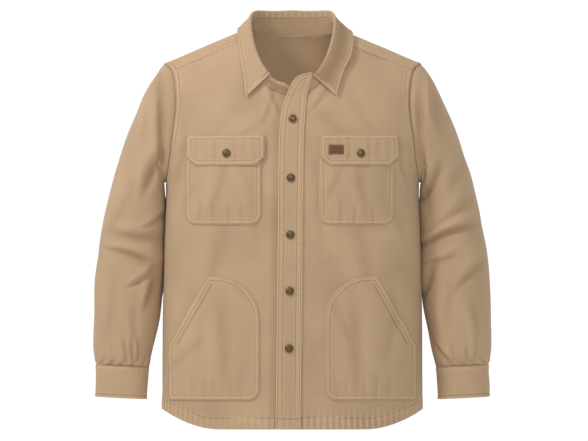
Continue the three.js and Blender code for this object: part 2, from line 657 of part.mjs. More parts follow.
// A straight-sided strip on a sleeve between two turns and two rings, made from the sleeve's samples.
function sleeveStrip(grid, turns, rings) {
  const [first, last] = rings;
  return grid.slice(first, last + 1).map((row) =>
    turns.map((turn) => {
      const j = LOOP_TURNS.findIndex((value) => value === turn);
      return lifted(row[j], LAY_GAP + CLOTH);
    }),
  );
}

// ---------------------------------------------------------------- collar
// The stand's foot and head at a turn round the neck, in degrees from the middle of the back.
function standLine(turn) {
  const foot = neckPoint(turn);
  const away = neckPoint(turn + 1).sub(neckPoint(turn - 1)).cross(vec(0, 0, 1));
  away.z = 0;
  away.normalize();
  if (away.dot(vec(foot.x, foot.y - NECK_MIDDLE, 0)) < 0) away.negate();
  const tall = read(STAND, "turn", Math.abs(turn), "tall");
  const head = foot.clone().addScaledVector(away, -read(STAND, "turn", Math.abs(turn), "lean"));
  head.z += tall;
  foot.z += SEAM_GAP * 3;
  return { foot, head, away };
}

// The turns round the neck where the collar is sampled: at the yoke's own ones, then on to each end.
const yokeTurn = (i, last) => NECK_CORNER * (1 - (2 * i) / last);
const YOKE_LAST = 2 * COUNT.overArmhole + COUNT.backWide;
const COLLAR_TURNS = [
  ...steps(5).slice(0, -1).map((t) => mix(-LEAF_END.right, -NECK_CORNER, t)),
  ...steps(YOKE_LAST).map((t) => mix(-NECK_CORNER, NECK_CORNER, t)),
  ...steps(5).slice(1).map((t) => mix(NECK_CORNER, LEAF_END.left, t)),
];

// The stand's top edge falls to each end in a quarter ellipse. Its left side rises under the lap, and
// its right end sinks beneath the left front.
function standGrid() {
  const turns = [
    ...steps(5).slice(0, -1).map((t) => mix(-STAND_END.right, -LEAF_END.right, t)),
    ...COLLAR_TURNS,
    ...steps(4).slice(1).map((t) => mix(LEAF_END.left, STAND_END.left, t)),
  ];
  return turns.map((turn) => {
    const side = turn > 0 ? "left" : "right";
    const past = clamp((Math.abs(turn) - LEAF_END[side]) / (STAND_END[side] - LEAF_END[side]), 0, 1);
    const { foot, head, away } = standLine(turn);
    const last = Math.abs(neckPoint(STAND_END[side]).x);
    const nearEnd = clamp(1 - (Math.abs(foot.x) - last) / STAND_ROUND, 0, 1);
    head.z += turn > 0 ? STAND_LAP_RISE * ease(2 * past) : 0;
    if (past > 0) head.z -= STAND_FALL * (head.z - foot.z) * (1 - Math.sqrt(1 - nearEnd ** 2));
    const under = TUCK.depth * ease((-turn - LEAF_END.right) / STAND_TUCK);
    return [0, 0.5, 1].map((t) => {
      const point = foot.clone().lerp(head, t).addScaledVector(away, -under);
      return { point, normal: away.clone() };
    });
  });
}

// A section of the leaf: up from the stand's head, over the roll, and down to the free edge.
function leafLine(turn) {
  const side = turn < 0 ? "right" : "left";
  const row = (column) => read(LEAF, "turn", Math.abs(turn), column);
  const { head, away } = standLine(turn);
  const start = head.clone().addScaledVector(away, -BAND);
  start.z += 3 * SEAM_GAP;
  const crest = start.clone().addScaledVector(away, LEAF_ROLL);
  crest.z += row("rise");
  const [x, y] = [row(`${side}X`), row(`${side}Y`)];
  const edge = vec(x, y, topHeight(x, y));
  const face = y < 0 ? "front" : "back";
  const over = ridgeSample(x, ridgeAngle(face, x, edge.z)).normal;
  if (side === "right") [edge.x, over.x] = [-edge.x, -over.x];
  edge.addScaledVector(over, LEAF_CLEAR + BAND);
  const line = [start];
  for (const angle of [170, 120, 60, 10]) {
    const at = crest.clone().addScaledVector(away, LEAF_ROLL * Math.cos(angle * RAD));
    at.z += LEAF_ROLL * Math.sin(angle * RAD);
    line.push(at);
  }
  const fall = line.at(-1).clone();
  for (const t of [0.35, 0.7, 1]) {
    const at = fall.clone().lerp(edge, t);
    at.addScaledVector(away, LEAF_BELLY * Math.sin(t * Math.PI));
    line.push(at);
  }
  return line;
}

function leafGrid() {
  const lines = COLLAR_TURNS.map(leafLine);
  return lines.map((line, i) =>
    line.map((point, j) => {
      const along = lines[Math.min(lines.length - 1, i + 1)][j].clone().sub(lines[Math.max(0, i - 1)][j]);
      const down = line[Math.min(line.length - 1, j + 1)].clone().sub(line[Math.max(0, j - 1)]);
      return { point, normal: down.cross(along).normalize() };
    }),
  );
}

// ---------------------------------------------------------------- pieces sewn on the fronts
// Rows of samples on the front, each row a height with its two ends, lifted off the panel.
function frontPatch(rows, cols, lift) {
  return rows.map(({ z, from, to }, i) =>
    steps(cols).map((t) => {
      const g = mix(turnAt(from, z), turnAt(to, z), t);
      const by = typeof lift === "function" ? lift(i / (rows.length - 1)) : lift;
      return lifted(faceSample("front", g, z), by);
    }),
  );
}
// How far a round corner's edge lies in at a height above its foot.
function cornerInset(corner, up) {
  const left = corner - clamp(up, 0, corner);
  return corner - Math.sqrt(Math.max(0, corner ** 2 - left ** 2));
}
const PATCH_LIFT = LAY_GAP + CLOTH;

function chestRows() {
  const { left, right, top, bottom, corner } = CHEST;
  const heights = [top, ...[0.8, 0.6, 0.4, 0.25].map((t) => mix(bottom, top, t))];
  heights.push(...[1, 0.55, 0.2, 0].map((t) => bottom + corner * t));
  return heights.map((z) => {
    const by = cornerInset(corner, z - bottom);
    return { z, from: left + by, to: right - by };
  });
}

function flapRows() {
  const { left, right, top, side, bottom, cut } = FLAP;
  return [
    { z: top, from: left, to: right },
    { z: mix(top, CHEST.top, 0.8), from: left, to: right },
    { z: mix(CHEST.top, side, 0.5), from: left, to: right },
    { z: side, from: left, to: right },
    { z: bottom, from: left + cut, to: right - cut },
  ];
}

// The hand pocket: a slant mouth towards the side, a round shoulder towards the middle.
function handRows() {
  const { side, inner, peak, top, slantFoot, bottom, curve, corner } = HAND;
  const slant = (z) => mix(peak, side, clamp((top - z) / (top - slantFoot), 0, 1));
  const shoulder = (z) => {
    const up = clamp((z - (top - curve)) / curve, 0, 1);
    return inner - curve * (1 - Math.sqrt(1 - up * up));
  };
  const heights = [top, ...[0.04, 0.14, 0.3, 0.55, 0.8].map((t) => mix(top, slantFoot, t)), slantFoot];
  heights.push(...[0.3, 0.6].map((t) => mix(slantFoot, bottom, t)));
  heights.push(...[1, 0.5, 0.15, 0].map((t) => bottom + corner * t));
  return heights.map((z) => ({ z, from: slant(z), to: shoulder(z) - cornerInset(corner, z - bottom) }));
}

// The same rows on the other front, or moved across by a distance.
const otherSide = (rows) => rows.map(({ z, from, to }) => ({ z, from: -to, to: -from }));
const moved = (rows, by) => rows.map(({ z, from, to }) => ({ z, from: from + by, to: to + by }));

// The placket's outer face at x and z before it is lifted. Below the neckline it lies on the front;
// above it, it stands on the stand's outer face, and a smooth minimum of the two depths joins them.
function placketSupport(x, z) {
  const { reach, foot, lean, low, soft, off } = PLACKET_RISE;
  const body = frontSample(x, Math.min(z, reach)).point;
  const stand = frontNeckDepth(x) - off + lean * Math.max(z - foot, -low);
  const gap = body.y - stand;
  return vec(x, (body.y + stand - Math.sqrt(gap * gap + 4 * soft * soft)) / 2, z);
}

function placketSample(x, z) {
  const across = placketSupport(x + 1, z).sub(placketSupport(x - 1, z));
  const normal = across.cross(placketSupport(x, z + 1).sub(placketSupport(x, z - 1))).normalize();
  if (normal.y > 0) normal.negate();
  return lifted({ point: placketSupport(x, z), normal }, PATCH_LIFT);
}

// Rows across the band, evenly up its straight part and closer together round its curve.
const PLACKET_ROWS = { straight: 18, curve: 14, bend: 3 };
function placketGrid() {
  let run = 0;
  const rows = PLACKET.map((row, i) => {
    const before = PLACKET[Math.max(0, i - 1)];
    run += Math.hypot(row.freeX - before.freeX, row.freeZ - before.freeZ);
    return { ...row, run };
  });
  const bend = rows[PLACKET_ROWS.bend].run;
  const runs = [
    ...steps(PLACKET_ROWS.straight).map((t) => bend * t),
    ...steps(PLACKET_ROWS.curve).slice(1).map((t) => mix(bend, run, t)),
  ];
  return runs.map((at) => {
    const [freeX, freeZ, innerX, innerZ] = ["freeX", "freeZ", "innerX", "innerZ"].map((column) =>
      read(rows, "run", at, column),
    );
    return steps(4).map((t) => placketSample(mix(freeX, innerX, t), mix(freeZ, innerZ, t)));
  });
}

// ---------------------------------------------------------------- snaps and label
// A domed cap with a rolled rim, turned round Z with its foot at zero.
function snapGeometry() {
  const { radius, dome, rim } = SNAP;
  const profile = [
    [0, 0],
    [radius * 0.86, 0],
    [radius, rim * 0.5],
    [radius * 0.97, rim],
    [radius * 0.8, dome * 0.75],
    [radius * 0.45, dome],
    [0, dome * 0.82],
  ].map(([r, z]) => new THREE.Vector2(r, z));
  return new THREE.LatheGeometry(profile, 10).rotateX(Math.PI / 2);
}

function addSnap(name, sample, lift) {
  const mesh = add(name, snapGeometry(), BRASS);
  const { point, normal } = lifted(sample, lift + SEAM_GAP);
  mesh.position.copy(point);
  mesh.quaternion.setFromUnitVectors(vec(0, 0, 1), normal);
  return mesh;
}

// ---------------------------------------------------------------- the garment
add("front_left", wallGeometry(frontGrid(1), CLOTH), CANVAS);
add("front_right", wallGeometry(frontGrid(-1), CLOTH), CANVAS);
add("placket", wallGeometry(placketGrid(), CLOTH), CANVAS);
add("yoke", wallGeometry(yokeGrid(), CLOTH), CANVAS);
add("back", wallGeometry(backGrid(), CLOTH), CANVAS);
add("collar_stand", wallGeometry(standGrid(), BAND), CANVAS);
add("collar_leaf", wallGeometry(leafGrid(), BAND), CANVAS);

const chestSides = { right: chestRows(), left: moved(chestRows(), CHEST_SHIFT) };
const flapSides = { right: flapRows(), left: moved(flapRows(), CHEST_SHIFT) };
const handSides = { right: handRows(), left: otherSide(handRows()) };
const flapLift = (t) => PATCH_LIFT + (CLOTH + LAY_GAP) * ease(t * 4) + t;
for (const [name, rows] of Object.entries(chestSides))
  add(`chest_pocket_${name}`, wallGeometry(frontPatch(rows, 8, PATCH_LIFT), CLOTH), CANVAS);
for (const [name, rows] of Object.entries(flapSides))
  add(`flap_${name}`, wallGeometry(frontPatch(rows, 8, flapLift), CLOTH), CANVAS);
for (const [name, rows] of Object.entries(handSides))
  add(`hand_pocket_${name}`, wallGeometry(frontPatch(rows, 9, PATCH_LIFT), CLOTH), CANVAS);

const sleeve = sleeveGrid();
const cuff = cuffGrid();
const slit = sleeveStrip(sleeve, LOOP_TURNS.slice(18, 20), [15, 20]);
for (const [name, turned] of [["left", (s) => s], ["right", mirrored]]) {
  const sided = (grid) => grid.map((row) => row.map(turned));
  add(`sleeve_${name}`, wallGeometry(sided(sleeve), CLOTH, true), CANVAS);
  add(`cuff_${name}`, wallGeometry(sided(cuff), BAND), CANVAS);
  add(`sleeve_placket_${name}`, wallGeometry(sided(slit), CLOTH), CANVAS);
  addSnap(`snap_cuff_${name}`, turned(cuff[1][25]), 0);
}

SNAP_HEIGHTS.forEach((z, i) => {
  addSnap(`snap_front_${i + 1}`, frontSample(lapEdge(z) + LAP_WIDTH / 2, z), PATCH_LIFT);
});
const flapSnapLift = PATCH_LIFT + CLOTH + LAY_GAP + 0.9;
addSnap("snap_flap_right", frontSample(FLAP_SNAP.x, FLAP_SNAP.height), flapSnapLift);
addSnap("snap_flap_left", frontSample(FLAP_SNAP.x + CHEST_SHIFT, FLAP_SNAP.height), flapSnapLift);

const labelRows = [LABEL.top, LABEL.bottom].map((z) => ({ z, from: LABEL.left, to: LABEL.right }));
const LABEL_WALL = 1.2;
const labelLift = flapSnapLift + LABEL_WALL;
add("label", wallGeometry(frontPatch(labelRows, 2, labelLift), LABEL_WALL), LEATHER);

export default garment;
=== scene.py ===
"""Shirt jacket: the cloth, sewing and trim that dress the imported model, its studio and its camera.

Lengths in the tables and formulas are millimetres, and become metres when a mesh is made.
+Z is up, -Y is the front and +X is the wearer's left.
"""

import bpy
import numpy as np
from bpy.props import FloatProperty, FloatVectorProperty, PointerProperty
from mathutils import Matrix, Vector


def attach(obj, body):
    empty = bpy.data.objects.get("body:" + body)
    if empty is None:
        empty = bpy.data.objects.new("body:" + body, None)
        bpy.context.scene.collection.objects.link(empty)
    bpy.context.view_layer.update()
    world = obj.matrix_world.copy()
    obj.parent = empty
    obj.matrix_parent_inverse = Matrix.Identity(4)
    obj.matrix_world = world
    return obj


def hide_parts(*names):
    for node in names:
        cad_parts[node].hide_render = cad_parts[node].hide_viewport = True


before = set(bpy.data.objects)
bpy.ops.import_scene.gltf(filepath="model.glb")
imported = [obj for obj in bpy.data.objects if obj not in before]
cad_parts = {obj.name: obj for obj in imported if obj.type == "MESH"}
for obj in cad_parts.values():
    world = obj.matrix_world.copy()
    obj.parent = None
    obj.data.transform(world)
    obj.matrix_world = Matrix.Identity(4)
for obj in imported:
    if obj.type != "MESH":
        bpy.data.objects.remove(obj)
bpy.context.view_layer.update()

bl_info = {
    "name": "Shirt jacket",
    "version": (1, 0, 0),
    "blender": (4, 5, 0),
    "location": "3D View > Sidebar > Jacket",
    "description": "Cloth, sewing and trim of a canvas shirt jacket",
    "category": "Object",
}

MM = 0.001
FRONT, BACK = -1, 1
MIDDLE = -0.362  # height of the jacket's middle, in metres

# ---------------------------------------------------------------- the cut's sizes
# Torso sections: height, half width, depth in front of and behind the side seams.
TORSO = np.array(
    [
        (-790, 248, 113, 107),
        (-570, 247, 111, 101),
        (-400, 244, 112, 99),
        (-292, 241, 114, 103),
        (-220, 248, 113, 108),
        (-140, 257, 109, 108),
        (-60, 272, 105, 106),
        (40, 282, 103, 104),
    ],
    float,
)
SQUARE = 2.4  # squareness of a torso section, where 2 is an ellipse
TIP, TIP_Z, SLOPE, NECK_ROUND = 246, -63, 0.44, 40  # the shoulder line
TURN = {FRONT: -300, BACK: -220}  # height where a face starts to lean to the shoulder line
LEAN = {FRONT: 1.7, BACK: 2.0}
HEM, HEM_RISE, HEM_FLAT, HEM_POWER = -759, 37, 140, 1.9
ARMPIT = -292
ARM_DEEP = {FRONT: 49, BACK: 55}
ARM_NARROW = 6
ARM_FRONT, ARM_BACK = 28, 65  # turns round the armhole where the yoke seams meet it
NECK = {"half": 88, "front": 84, "back": 54}
NECK_SQUARE = {FRONT: 2.5, BACK: 2.3}
NECK_CORNER = 106  # turn round the neck where the front yoke seam meets it
YOKE_BACK = -130
SEAM_GAP = 0.3
LAY = 0.8  # a sewn-on piece above its panel
CLOTH = 2.0
BAND = 2.6

# The band along the lap: its free edge x z, and the matching point of its inner edge x z, from the
# hem to the collar. Above the neckline it stands on the collar stand, and ends beside the leaf.
PLACKET = np.array(
    [
        (-31.7, -758.5, 15.3, -758.5),
        (-29.5, -560, 17.5, -560),
        (-27, -340, 20, -340),
        (-25, -200, 22, -200),
        (-21.6, -160, 24, -162),
        (-16, -135.6, 25.5, -141),
        (-10.5, -122, 26.5, -130),
        (-3.1, -104, 28.5, -118),
        (6.5, -90, 31, -108),
        (16, -84.6, 33.5, -100),
        (28.5, -81.6, 36, -91),
        (36.5, -80, 38.3, -84.5),
    ],
    float,
)
LAP = PLACKET[:8, [1, 0]]  # free edge of the left front: height and x

LAP_WIDTH = 47
UNDERLAP, UNDERLAP_BEND = 34, 8  # its reach, and how suddenly its rows bend to the neckline
TUCK, TUCK_EASE = CLOTH + 1.4, 16
PLACKET_REACH, PLACKET_FOOT = -90, -119  # heights between which the stand takes over from the front
PLACKET_LEAN, PLACKET_LOW, PLACKET_SOFT = 0.05, 40, 1.0
# Sleeve sections: outer point x z, inner point x z, half depth, middle depth.
SLEEVE = np.array(
    [
        (259, -80, 244, -290, 54, 4),
        (274, -105, 244, -297, 59, 10),
        (295, -150, 243, -310, 64, 18),
        (317, -203, 241, -327, 67, 25),
        (336, -258, 240, -349, 68, 30),
        (351, -314, 240, -376, 68, 32),
        (362, -366, 240, -408, 67, 32),
        (371, -418, 241, -445, 66, 30),
        (377, -474, 245, -490, 64, 27),
        (379, -528, 252, -538, 61, 21),
        (380, -574, 261, -581, 56, 15),
        (380, -606, 267, -611, 50, 10),
        (378, -624, 271, -629, 44, 7),
        (375, -635, 274, -640, 36, 5),
    ],
    float,
)
CUFF = np.array(
    [(375, -636, 274, -641, 35, 5), (376, -667, 276, -672, 35, 3), (377, -698, 278, -703, 34, 1)],
    float,
)
CUFF_START, CUFF_TURNS = -110, 394
SLEEVE_SQUARE = 2.2
SLEEVE_CLEAR = 1.6

# Collar by the turn round the neck: stand height and lean, then the leaf's rise above the stand and
# its free edge in plan, x and y on the right and on the left, where the lap pushes it out.
STAND = np.array(
    [
        (0, 31, 4),
        (45, 30.5, 5),
        (65, 23, 7),
        (80, 16, 8),
        (92, 13, 7.5),
        (108, 15.5, 5.5),
        (130, 20, 3),
        (184, 22, 1),
    ],
    float,
)
LEAF = np.array(
    [
        (0, 12, 0, 63, 0, 63),
        (45, 10.5, 73, 50, 75, 50),
        (62, 10.5, 88, 36, 92, 36),
        (80, 7.5, 97, 19, 104, 19),
        (92, 5.5, 101.5, 3, 110.5, 3),
        (105, 6.5, 103, -13, 114, -13),
        (128, 5, 100, -44, 110.5, -44),
        (142, 3.5, 93, -64, 95.5, -62),
        (158, 2, 88, -82, 83, -79.5),
    ],
    float,
)
LEAF_END = {"right": 155.4, "left": 157.7}
NECK_END = {"right": 179, "left": 182}
STAND_END, STAND_ROUND = 174.5, 15  # the stand's left end, and how far from an end its top falls
STAND_LAP_RISE = 4
LEAF_ROLL, LEAF_CLEAR, LEAF_BELLY = 3.3, 3.5, 0.6

# Sewn-on pieces in front view, for the wearer's right side.
CHEST = {"left": -203, "right": -59, "top": -208, "bottom": -370, "corner": 22}
FLAP = {"left": -200, "right": -53, "top": -199, "side": -242, "bottom": -258, "cut": 17}
CHEST_SHIFT = 253
HAND = {
    "side": -236, "inner": -62, "peak": -162, "top": -467,
    "foot": -600, "bottom": -704, "curve": 86, "corner": 22,
}
LABEL = {"left": 68, "right": 97, "top": -219, "bottom": -237}
# Creases of the sewn-on pieces, as the folds below.
FLAP_CREASES = (
    (-182, -230, 88, 46, 4.5, 1.1, 0), (-164, -226, 94, 44, 4, 0.9, 0),
    (-146, -230, 86, 50, 4.5, 1.3, 0),
    (-108, -230, 92, 50, 4.5, 1.2, 0), (-92, -226, 88, 40, 4, 1.0, 0),
    (-72, -228, 94, 46, 4.5, 1.1, 0),
)
CHEST_CREASES = {
    "right": (
        (-138, -300, 74, 110, 13, 2.4, 2), (-90, -275, 112, 80, 11, 1.4, 2),
        (-176, -345, 84, 60, 6, 1.3, 1),
        (-150, -350, 96, 48, 4.5, 1.3, 0), (-120, -350, 88, 46, 4.5, 1.2, 0),
        (-96, -352, 94, 44, 5, 1.0, 1),
    ),
    "left": (
        (-118, -306, 102, 120, 13, 2.2, -2), (-170, -290, 66, 80, 11, 1.5, 2),
        (-160, -350, 90, 48, 5, 1.3, 1),
        (-134, -352, 84, 44, 4.5, 1.1, 0), (-100, -350, 98, 46, 4.5, 1.2, 0),
    ),
}
HAND_CREASES = {
    "right": (
        (-132, -590, 94, 190, 19, 3.0, 6), (-205, -622, 40, 100, 12, 1.8, -3),
        (-172, -560, 84, 130, 16, 1.8, 3),
        (-168, -682, 86, 50, 5, 1.4, 1), (-150, -684, 92, 46, 4.5, 1.2, 0),
        (-118, -682, 96, 50, 5, 1.2, 1),
        (-190, -684, 84, 44, 4.5, 1.1, 0), (-96, -500, 128, 70, 10, 1.5, 2),
    ),
    "left": (
        (-122, -600, 86, 180, 18, 2.8, -6), (-190, -575, 104, 120, 14, 1.8, 3),
        (-92, -545, 70, 110, 12, 1.6, 2),
        (-160, -683, 94, 48, 5, 1.3, 1), (-138, -684, 88, 46, 4.5, 1.2, 0),
        (-184, -682, 92, 50, 5, 1.1, 1),
        (-104, -684, 86, 44, 4.5, 1.1, 0),
    ),
}
SNAP_Z = (-169, -281, -389, -496, -605)
FLAP_SNAP = (-124, -235)

# Folds: middle x and z in front view, direction in degrees, length, half width, depth, bow.
# A fold is a trough with a lower ridge on its upper side; a negative depth raises a ridge.
BODY_FRONT = (
    (-212, -240, 78, 120, 9, 2.6, 6),
    (-196, -330, 62, 120, 14, 2.4, -8),
    (-140, -420, 74, 170, 22, 2.6, 10),
    (-90, -640, 84, 170, 18, 1.8, 4),
    (-200, -520, 70, 120, 13, 1.8, 5),
    (-60, -300, 84, 220, 16, 1.7, -6),
    (-120, -160, 60, 120, 18, 1.6, 6),
    (-70, -185, 38, 90, 12, 1.4, 4),
    (209, -250, 102, 110, 9, 2.6, -6),
    (190, -345, 118, 130, 15, 2.6, 8),
    (140, -430, 104, 170, 22, 2.8, -10),
    (84, -640, 96, 170, 18, 1.8, -4),
    (196, -520, 108, 120, 13, 1.8, -5),
    (52, -310, 95, 200, 15, 1.8, 5),
    (130, -150, 118, 110, 18, 1.8, -6),
    (76, -178, 140, 90, 12, 1.6, -4),
    (0, -700, 90, 80, 12, 1.0, 0),
    (-34, -122, 106, 84, 8, 3.2, -3),
    (-44, -150, 70, 60, 7, 1.6, 3),
    (58, -128, 52, 70, 9, 2.4, 3),
)
BODY_BACK = (
    (-168, -300, 66, 170, 16, 3.2, -10),
    (-140, -430, 82, 260, 24, 4.0, 12),
    (-196, -470, 76, 180, 15, 2.6, 6),
    (-60, -560, 88, 260, 22, 3.0, -8),
    (160, -310, 116, 160, 16, 3.2, 10),
    (132, -450, 98, 260, 25, 4.0, -12),
    (194, -500, 104, 170, 15, 2.4, -6),
    (44, -600, 93, 220, 20, 2.6, 8),
    (0, -230, 4, 240, 20, 1.8, 10),
    (-30, -360, 80, 200, 24, 2.0, 6),
)
SLEEVE_RIGHT_FRONT = (
    (-250, -178, 93, 210, 13, 8.0, 4),
    (-264, -268, 62, 100, 15, 8.5, -5),
    (-259, -362, 34, 60, 8, 4.5, 3),
    (-300, -394, -8, 100, 13, 5.0, 5),
    (-308, -430, -19, 105, 10, 6.5, -5),
    (-284, -472, 34, 72, 8, 5.5, 3),
    (-268, -497, 72, 70, 10, 7.0, 2),
    (-322, -330, 66, 120, 15, 3.0, 7),
    (-345, -520, 84, 120, 13, 3.0, 4),
    (-300, -560, 96, 80, 11, 3.0, -3),
    (-318, -616, 96, 66, 4.6, 3.4, 1),
    (-305, -616, 92, 60, 4.2, 3.2, -1),
    (-293, -618, 86, 54, 4.0, 3.0, 1),
    (-345, -622, 88, 44, 4.4, 2.0, 1),
    (-275, -150, 80, 120, 12, 2.6, 4),
)
SLEEVE_LEFT_FRONT = (
    (243, -205, 92, 240, 15, 9.0, -9),
    (264, -292, 58, 90, 11, 7.0, 4),
    (294, -388, 21, 125, 9, 8.5, -5),
    (283, -437, 11, 70, 8, 4.6, 3),
    (343, -463, 44, 95, 11, 4.6, -4),
    (258, -480, 74, 80, 9, 4.6, 2),
    (312, -345, 38, 110, 12, 3.4, 5),
    (330, -250, 60, 120, 16, 3.0, -6),
    (300, -520, 82, 120, 14, 3.2, -4),
    (352, -560, 96, 90, 10, 2.6, 3),
    (285, -616, -54, 56, 6, 4.4, 2),
    (349, -612, 88, 54, 4.6, 2.8, 1),
    (333, -622, 92, 44, 4.2, 2.6, -1),
    (306, -618, 98, 50, 4.4, 2.6, 1),
    (276, -160, 102, 110, 12, 2.6, -4),
)
# Folds behind either arm, with x counted outwards.
SLEEVE_BEHIND = (
    (262, -230, 104, 150, 13, 6.0, -6),
    (290, -340, -24, 120, 12, 5.0, 5),
    (300, -396, -14, 130, 10, 6.5, -6),
    (306, -438, 8, 130, 9, 6.0, 5),
    (296, -486, 22, 110, 10, 5.0, -4),
    (340, -540, 84, 110, 12, 3.0, 4),
    (300, -590, 95, 90, 9, 3.0, -3),
    (318, -618, 90, 56, 4.6, 3.2, 1),
    (345, -618, 94, 50, 4.4, 2.8, -1),
)

# Tone of the cloth's reverse side, paler as the cloth's back and as painted light on the inside of the
# jacket; of its rims, paler as wear and as painted highlight; and of the stand's inside, a little darker than
# the cloth's face; on the scale of the seams' tone.
REVERSE_TONE, EDGE_TONE, STAND_REVERSE_TONE = 1.6, 0.6, -0.12

# Grid lines near an edge, as distances in from it.
SEWN = (0, 0.6, 1.2, 1.8, 2.4, 3.2, 4.6, 6.4, 7.4, 8.1, 9.0, 9.7, 10.6, 12.5)
HEM_LINES = SEWN + (15, 17.5, 19.5, 20.5, 21.5, 24)
LAID_LINES = (0, 0.6, 1.2, 1.8, 2.4, 3.3, 4.6, 6.2, 7.4, 8.3, 9.0, 9.7, 10.6, 12.2)
PLACKET_LINES = (0, 0.7, 1.3, 2.1, 2.8, 3.5, 4.5, 6.2, 8.2, 9.5, 10.4, 11.2, 12.0, 12.9, 14.2)
PATCH_LINES = (0, 0.3, 0.7, 1.2, 1.6, 2.0, 2.6, 3.4, 5.0)
PLAIN = (0, 1.0, 2.4, 4.5)

# Rows of stitches, as distances in from the edge.
HEM_BAND = 20.5
ARM_ROWS = (1.8, 9.0)
YOKE_ROWS = CUFF_ROWS = (1.8, 8.0)
CUFF_END_ROW = 5.0
LEAF_ROW = 5.4
STAND_ROW = 2.0
LAID_ROWS = (1.8, 9.0)
PATCH_ROW = 1.6
STRIP_ROW = 1.8
MOUTH_ROW = 15.5  # the inner row beside a slant mouth
PLACKET_ROWS = (2.8, 11.2)
PLACKET_ENDS = (12, 40, 26, 40)  # how far from the top each of its rows stops

# Shares of a panel's side that its stretches take up.
SIDE_SHARE, ARM_SHARE, SHOULDER_SHARE, NECK_SHARE, BACK_ARM_SHARE = 14, 11, 9, 8, 7
YOKE_SHARES = (6, 20, 6)

# Thickness of the thinner pieces, and heights above the front's surface.
PLACKET_THICK = CLOTH - 0.5
SLEEVE_THICK, POCKET_THICK, FLAP_THICK, PATCH_THICK, STRIP_THICK = 1.8, 1.4, 1.6, 1.2, 1.4
POCKET_LIFT, PATCH_LIFT, FLAP_SNAP_LIFT, FRONT_SNAP_LIFT = 2.4, 7.4, 6.3, LAY + CLOTH + 0.2
COLLAR_SEAT = 0.9  # the stand above the neckline, and the leaf above the stand
CUFF_SNAP_TURN = 268.8
# Length of the cuff, and where and how steeply its end rises over its start.
CUFF_SPREAD, CUFF_LIFT_FROM, CUFF_LIFT_RATE = 262, 7.1, 8.5

# Stitch: along its length and how thick it is there; and its share of the pitch, width and height.
STITCH_PROFILE = np.array([(-0.5, 0.30), (0.0, 1.0), (0.5, 0.30)])
STITCH_LONG, STITCH_WIDE, STITCH_TALL = 0.80, 0.36, 0.30

# Half section of a snap's cap: radius, height and how worn it is.
SNAP_PROFILE = np.array(
    [
        (7.0, 0, 0),
        (8.0, 0.25, 0.3),
        (8.3, 0.8, 0.9),
        (8.1, 1.35, 1),
        (7.5, 1.65, 1),
        (6.9, 1.5, 0.4),
        (6.5, 1.35, 0),
        (6.2, 1.6, 0),
        (5.6, 2.2, 0.15),
        (4.4, 2.75, 0.3),
        (3.0, 3.05, 0.4),
        (1.5, 3.2, 0.45),
        (0.25, 3.22, 0.45),
    ]
)

# Lights: turn from straight ahead, rise, distance in metres, size in metres, tint.
LIGHTS = {
    "key": (-56, 42, 2.8, 0.55, (1.0, 0.99, 0.97)),
    "front": (10, 30, 3.2, 1.6, (1.0, 1.0, 1.0)),
}


# ---------------------------------------------------------------- arithmetic
def ease(t):
    """A smooth step from 0 to 1: 3t squared less 2t cubed."""
    t = np.clip(t, 0, 1)
    return t * t * (3 - 2 * t)


def mix(a, b, t):
    return a + (b - a) * t


def power(v, e):
    """The e-th power of a number's size, with its sign kept."""
    return np.sign(v) * np.abs(v) ** e


def read(rows, at, column):
    """A column of a table at a value of its first one, by a cubic between neighbouring rows whose
    slope at each row is the mean of the straight slopes on either side of it."""
    rows = rows if rows[-1, 0] > rows[0, 0] else rows[::-1]
    key, value = rows[:, 0], rows[:, column]
    at = np.asarray(at, float)
    straight = np.diff(value) / np.diff(key)
    slope = np.concatenate([straight[:1], (straight[1:] + straight[:-1]) / 2, straight[-1:]])
    i = np.clip(np.searchsorted(key, at, side="right") - 1, 0, len(key) - 2)
    span = key[i + 1] - key[i]
    t = np.clip((at - key[i]) / span, 0, 1)
    rise = value[i] * (2 * t**3 - 3 * t**2 + 1) + value[i + 1] * (3 * t**2 - 2 * t**3)
    return rise + span * (slope[i] * (t**3 - 2 * t**2 + t) + slope[i + 1] * (t**3 - t**2))


def unit(v):
    return v / np.maximum(np.linalg.norm(v, axis=-1, keepdims=True), 1e-9)


def along(points, axis):
    """Distance run along each grid line, from its first point."""
    step = np.linalg.norm(np.diff(points, axis=axis), axis=-1)
    start = np.zeros_like(step.take([0], axis=axis))
    return np.concatenate([start, np.cumsum(step, axis=axis)], axis=axis)


def lines(length, step, near=SEWN, far=SEWN):
    """Grid lines from 0 to 1 along a length: close together near its ends, then even steps."""
    low, high = np.array(near), length - np.array(far)[::-1]
    count = max(2, int(round((high[0] - low[-1]) / step)))
    return np.concatenate([low, np.linspace(low[-1], high[0], count + 1)[1:-1], high]) / length


def normals(points, ring=False):
    """Unit normals of a grid: the cross product of its two central differences."""
    if ring:
        around = np.roll(points, -1, 1) - np.roll(points, 1, 1)
    else:
        around = np.gradient(points, axis=1)
    return unit(np.cross(around, np.gradient(points, axis=0)))


def drift(x, z, size, seed):
    """Gentle unevenness between -1 and 1: the mean of six sine waves in turned directions, each
    about the given size long."""
    total = 0
    for k in range(6):
        angle = 0.7 + 1.13 * k + 0.37 * seed
        wave = size * (0.75 + 0.17 * k)
        total = total + np.sin((x * np.cos(angle) + z * np.sin(angle)) / wave * 2 * np.pi + 2.1 * k + seed)
    return total / 3.2


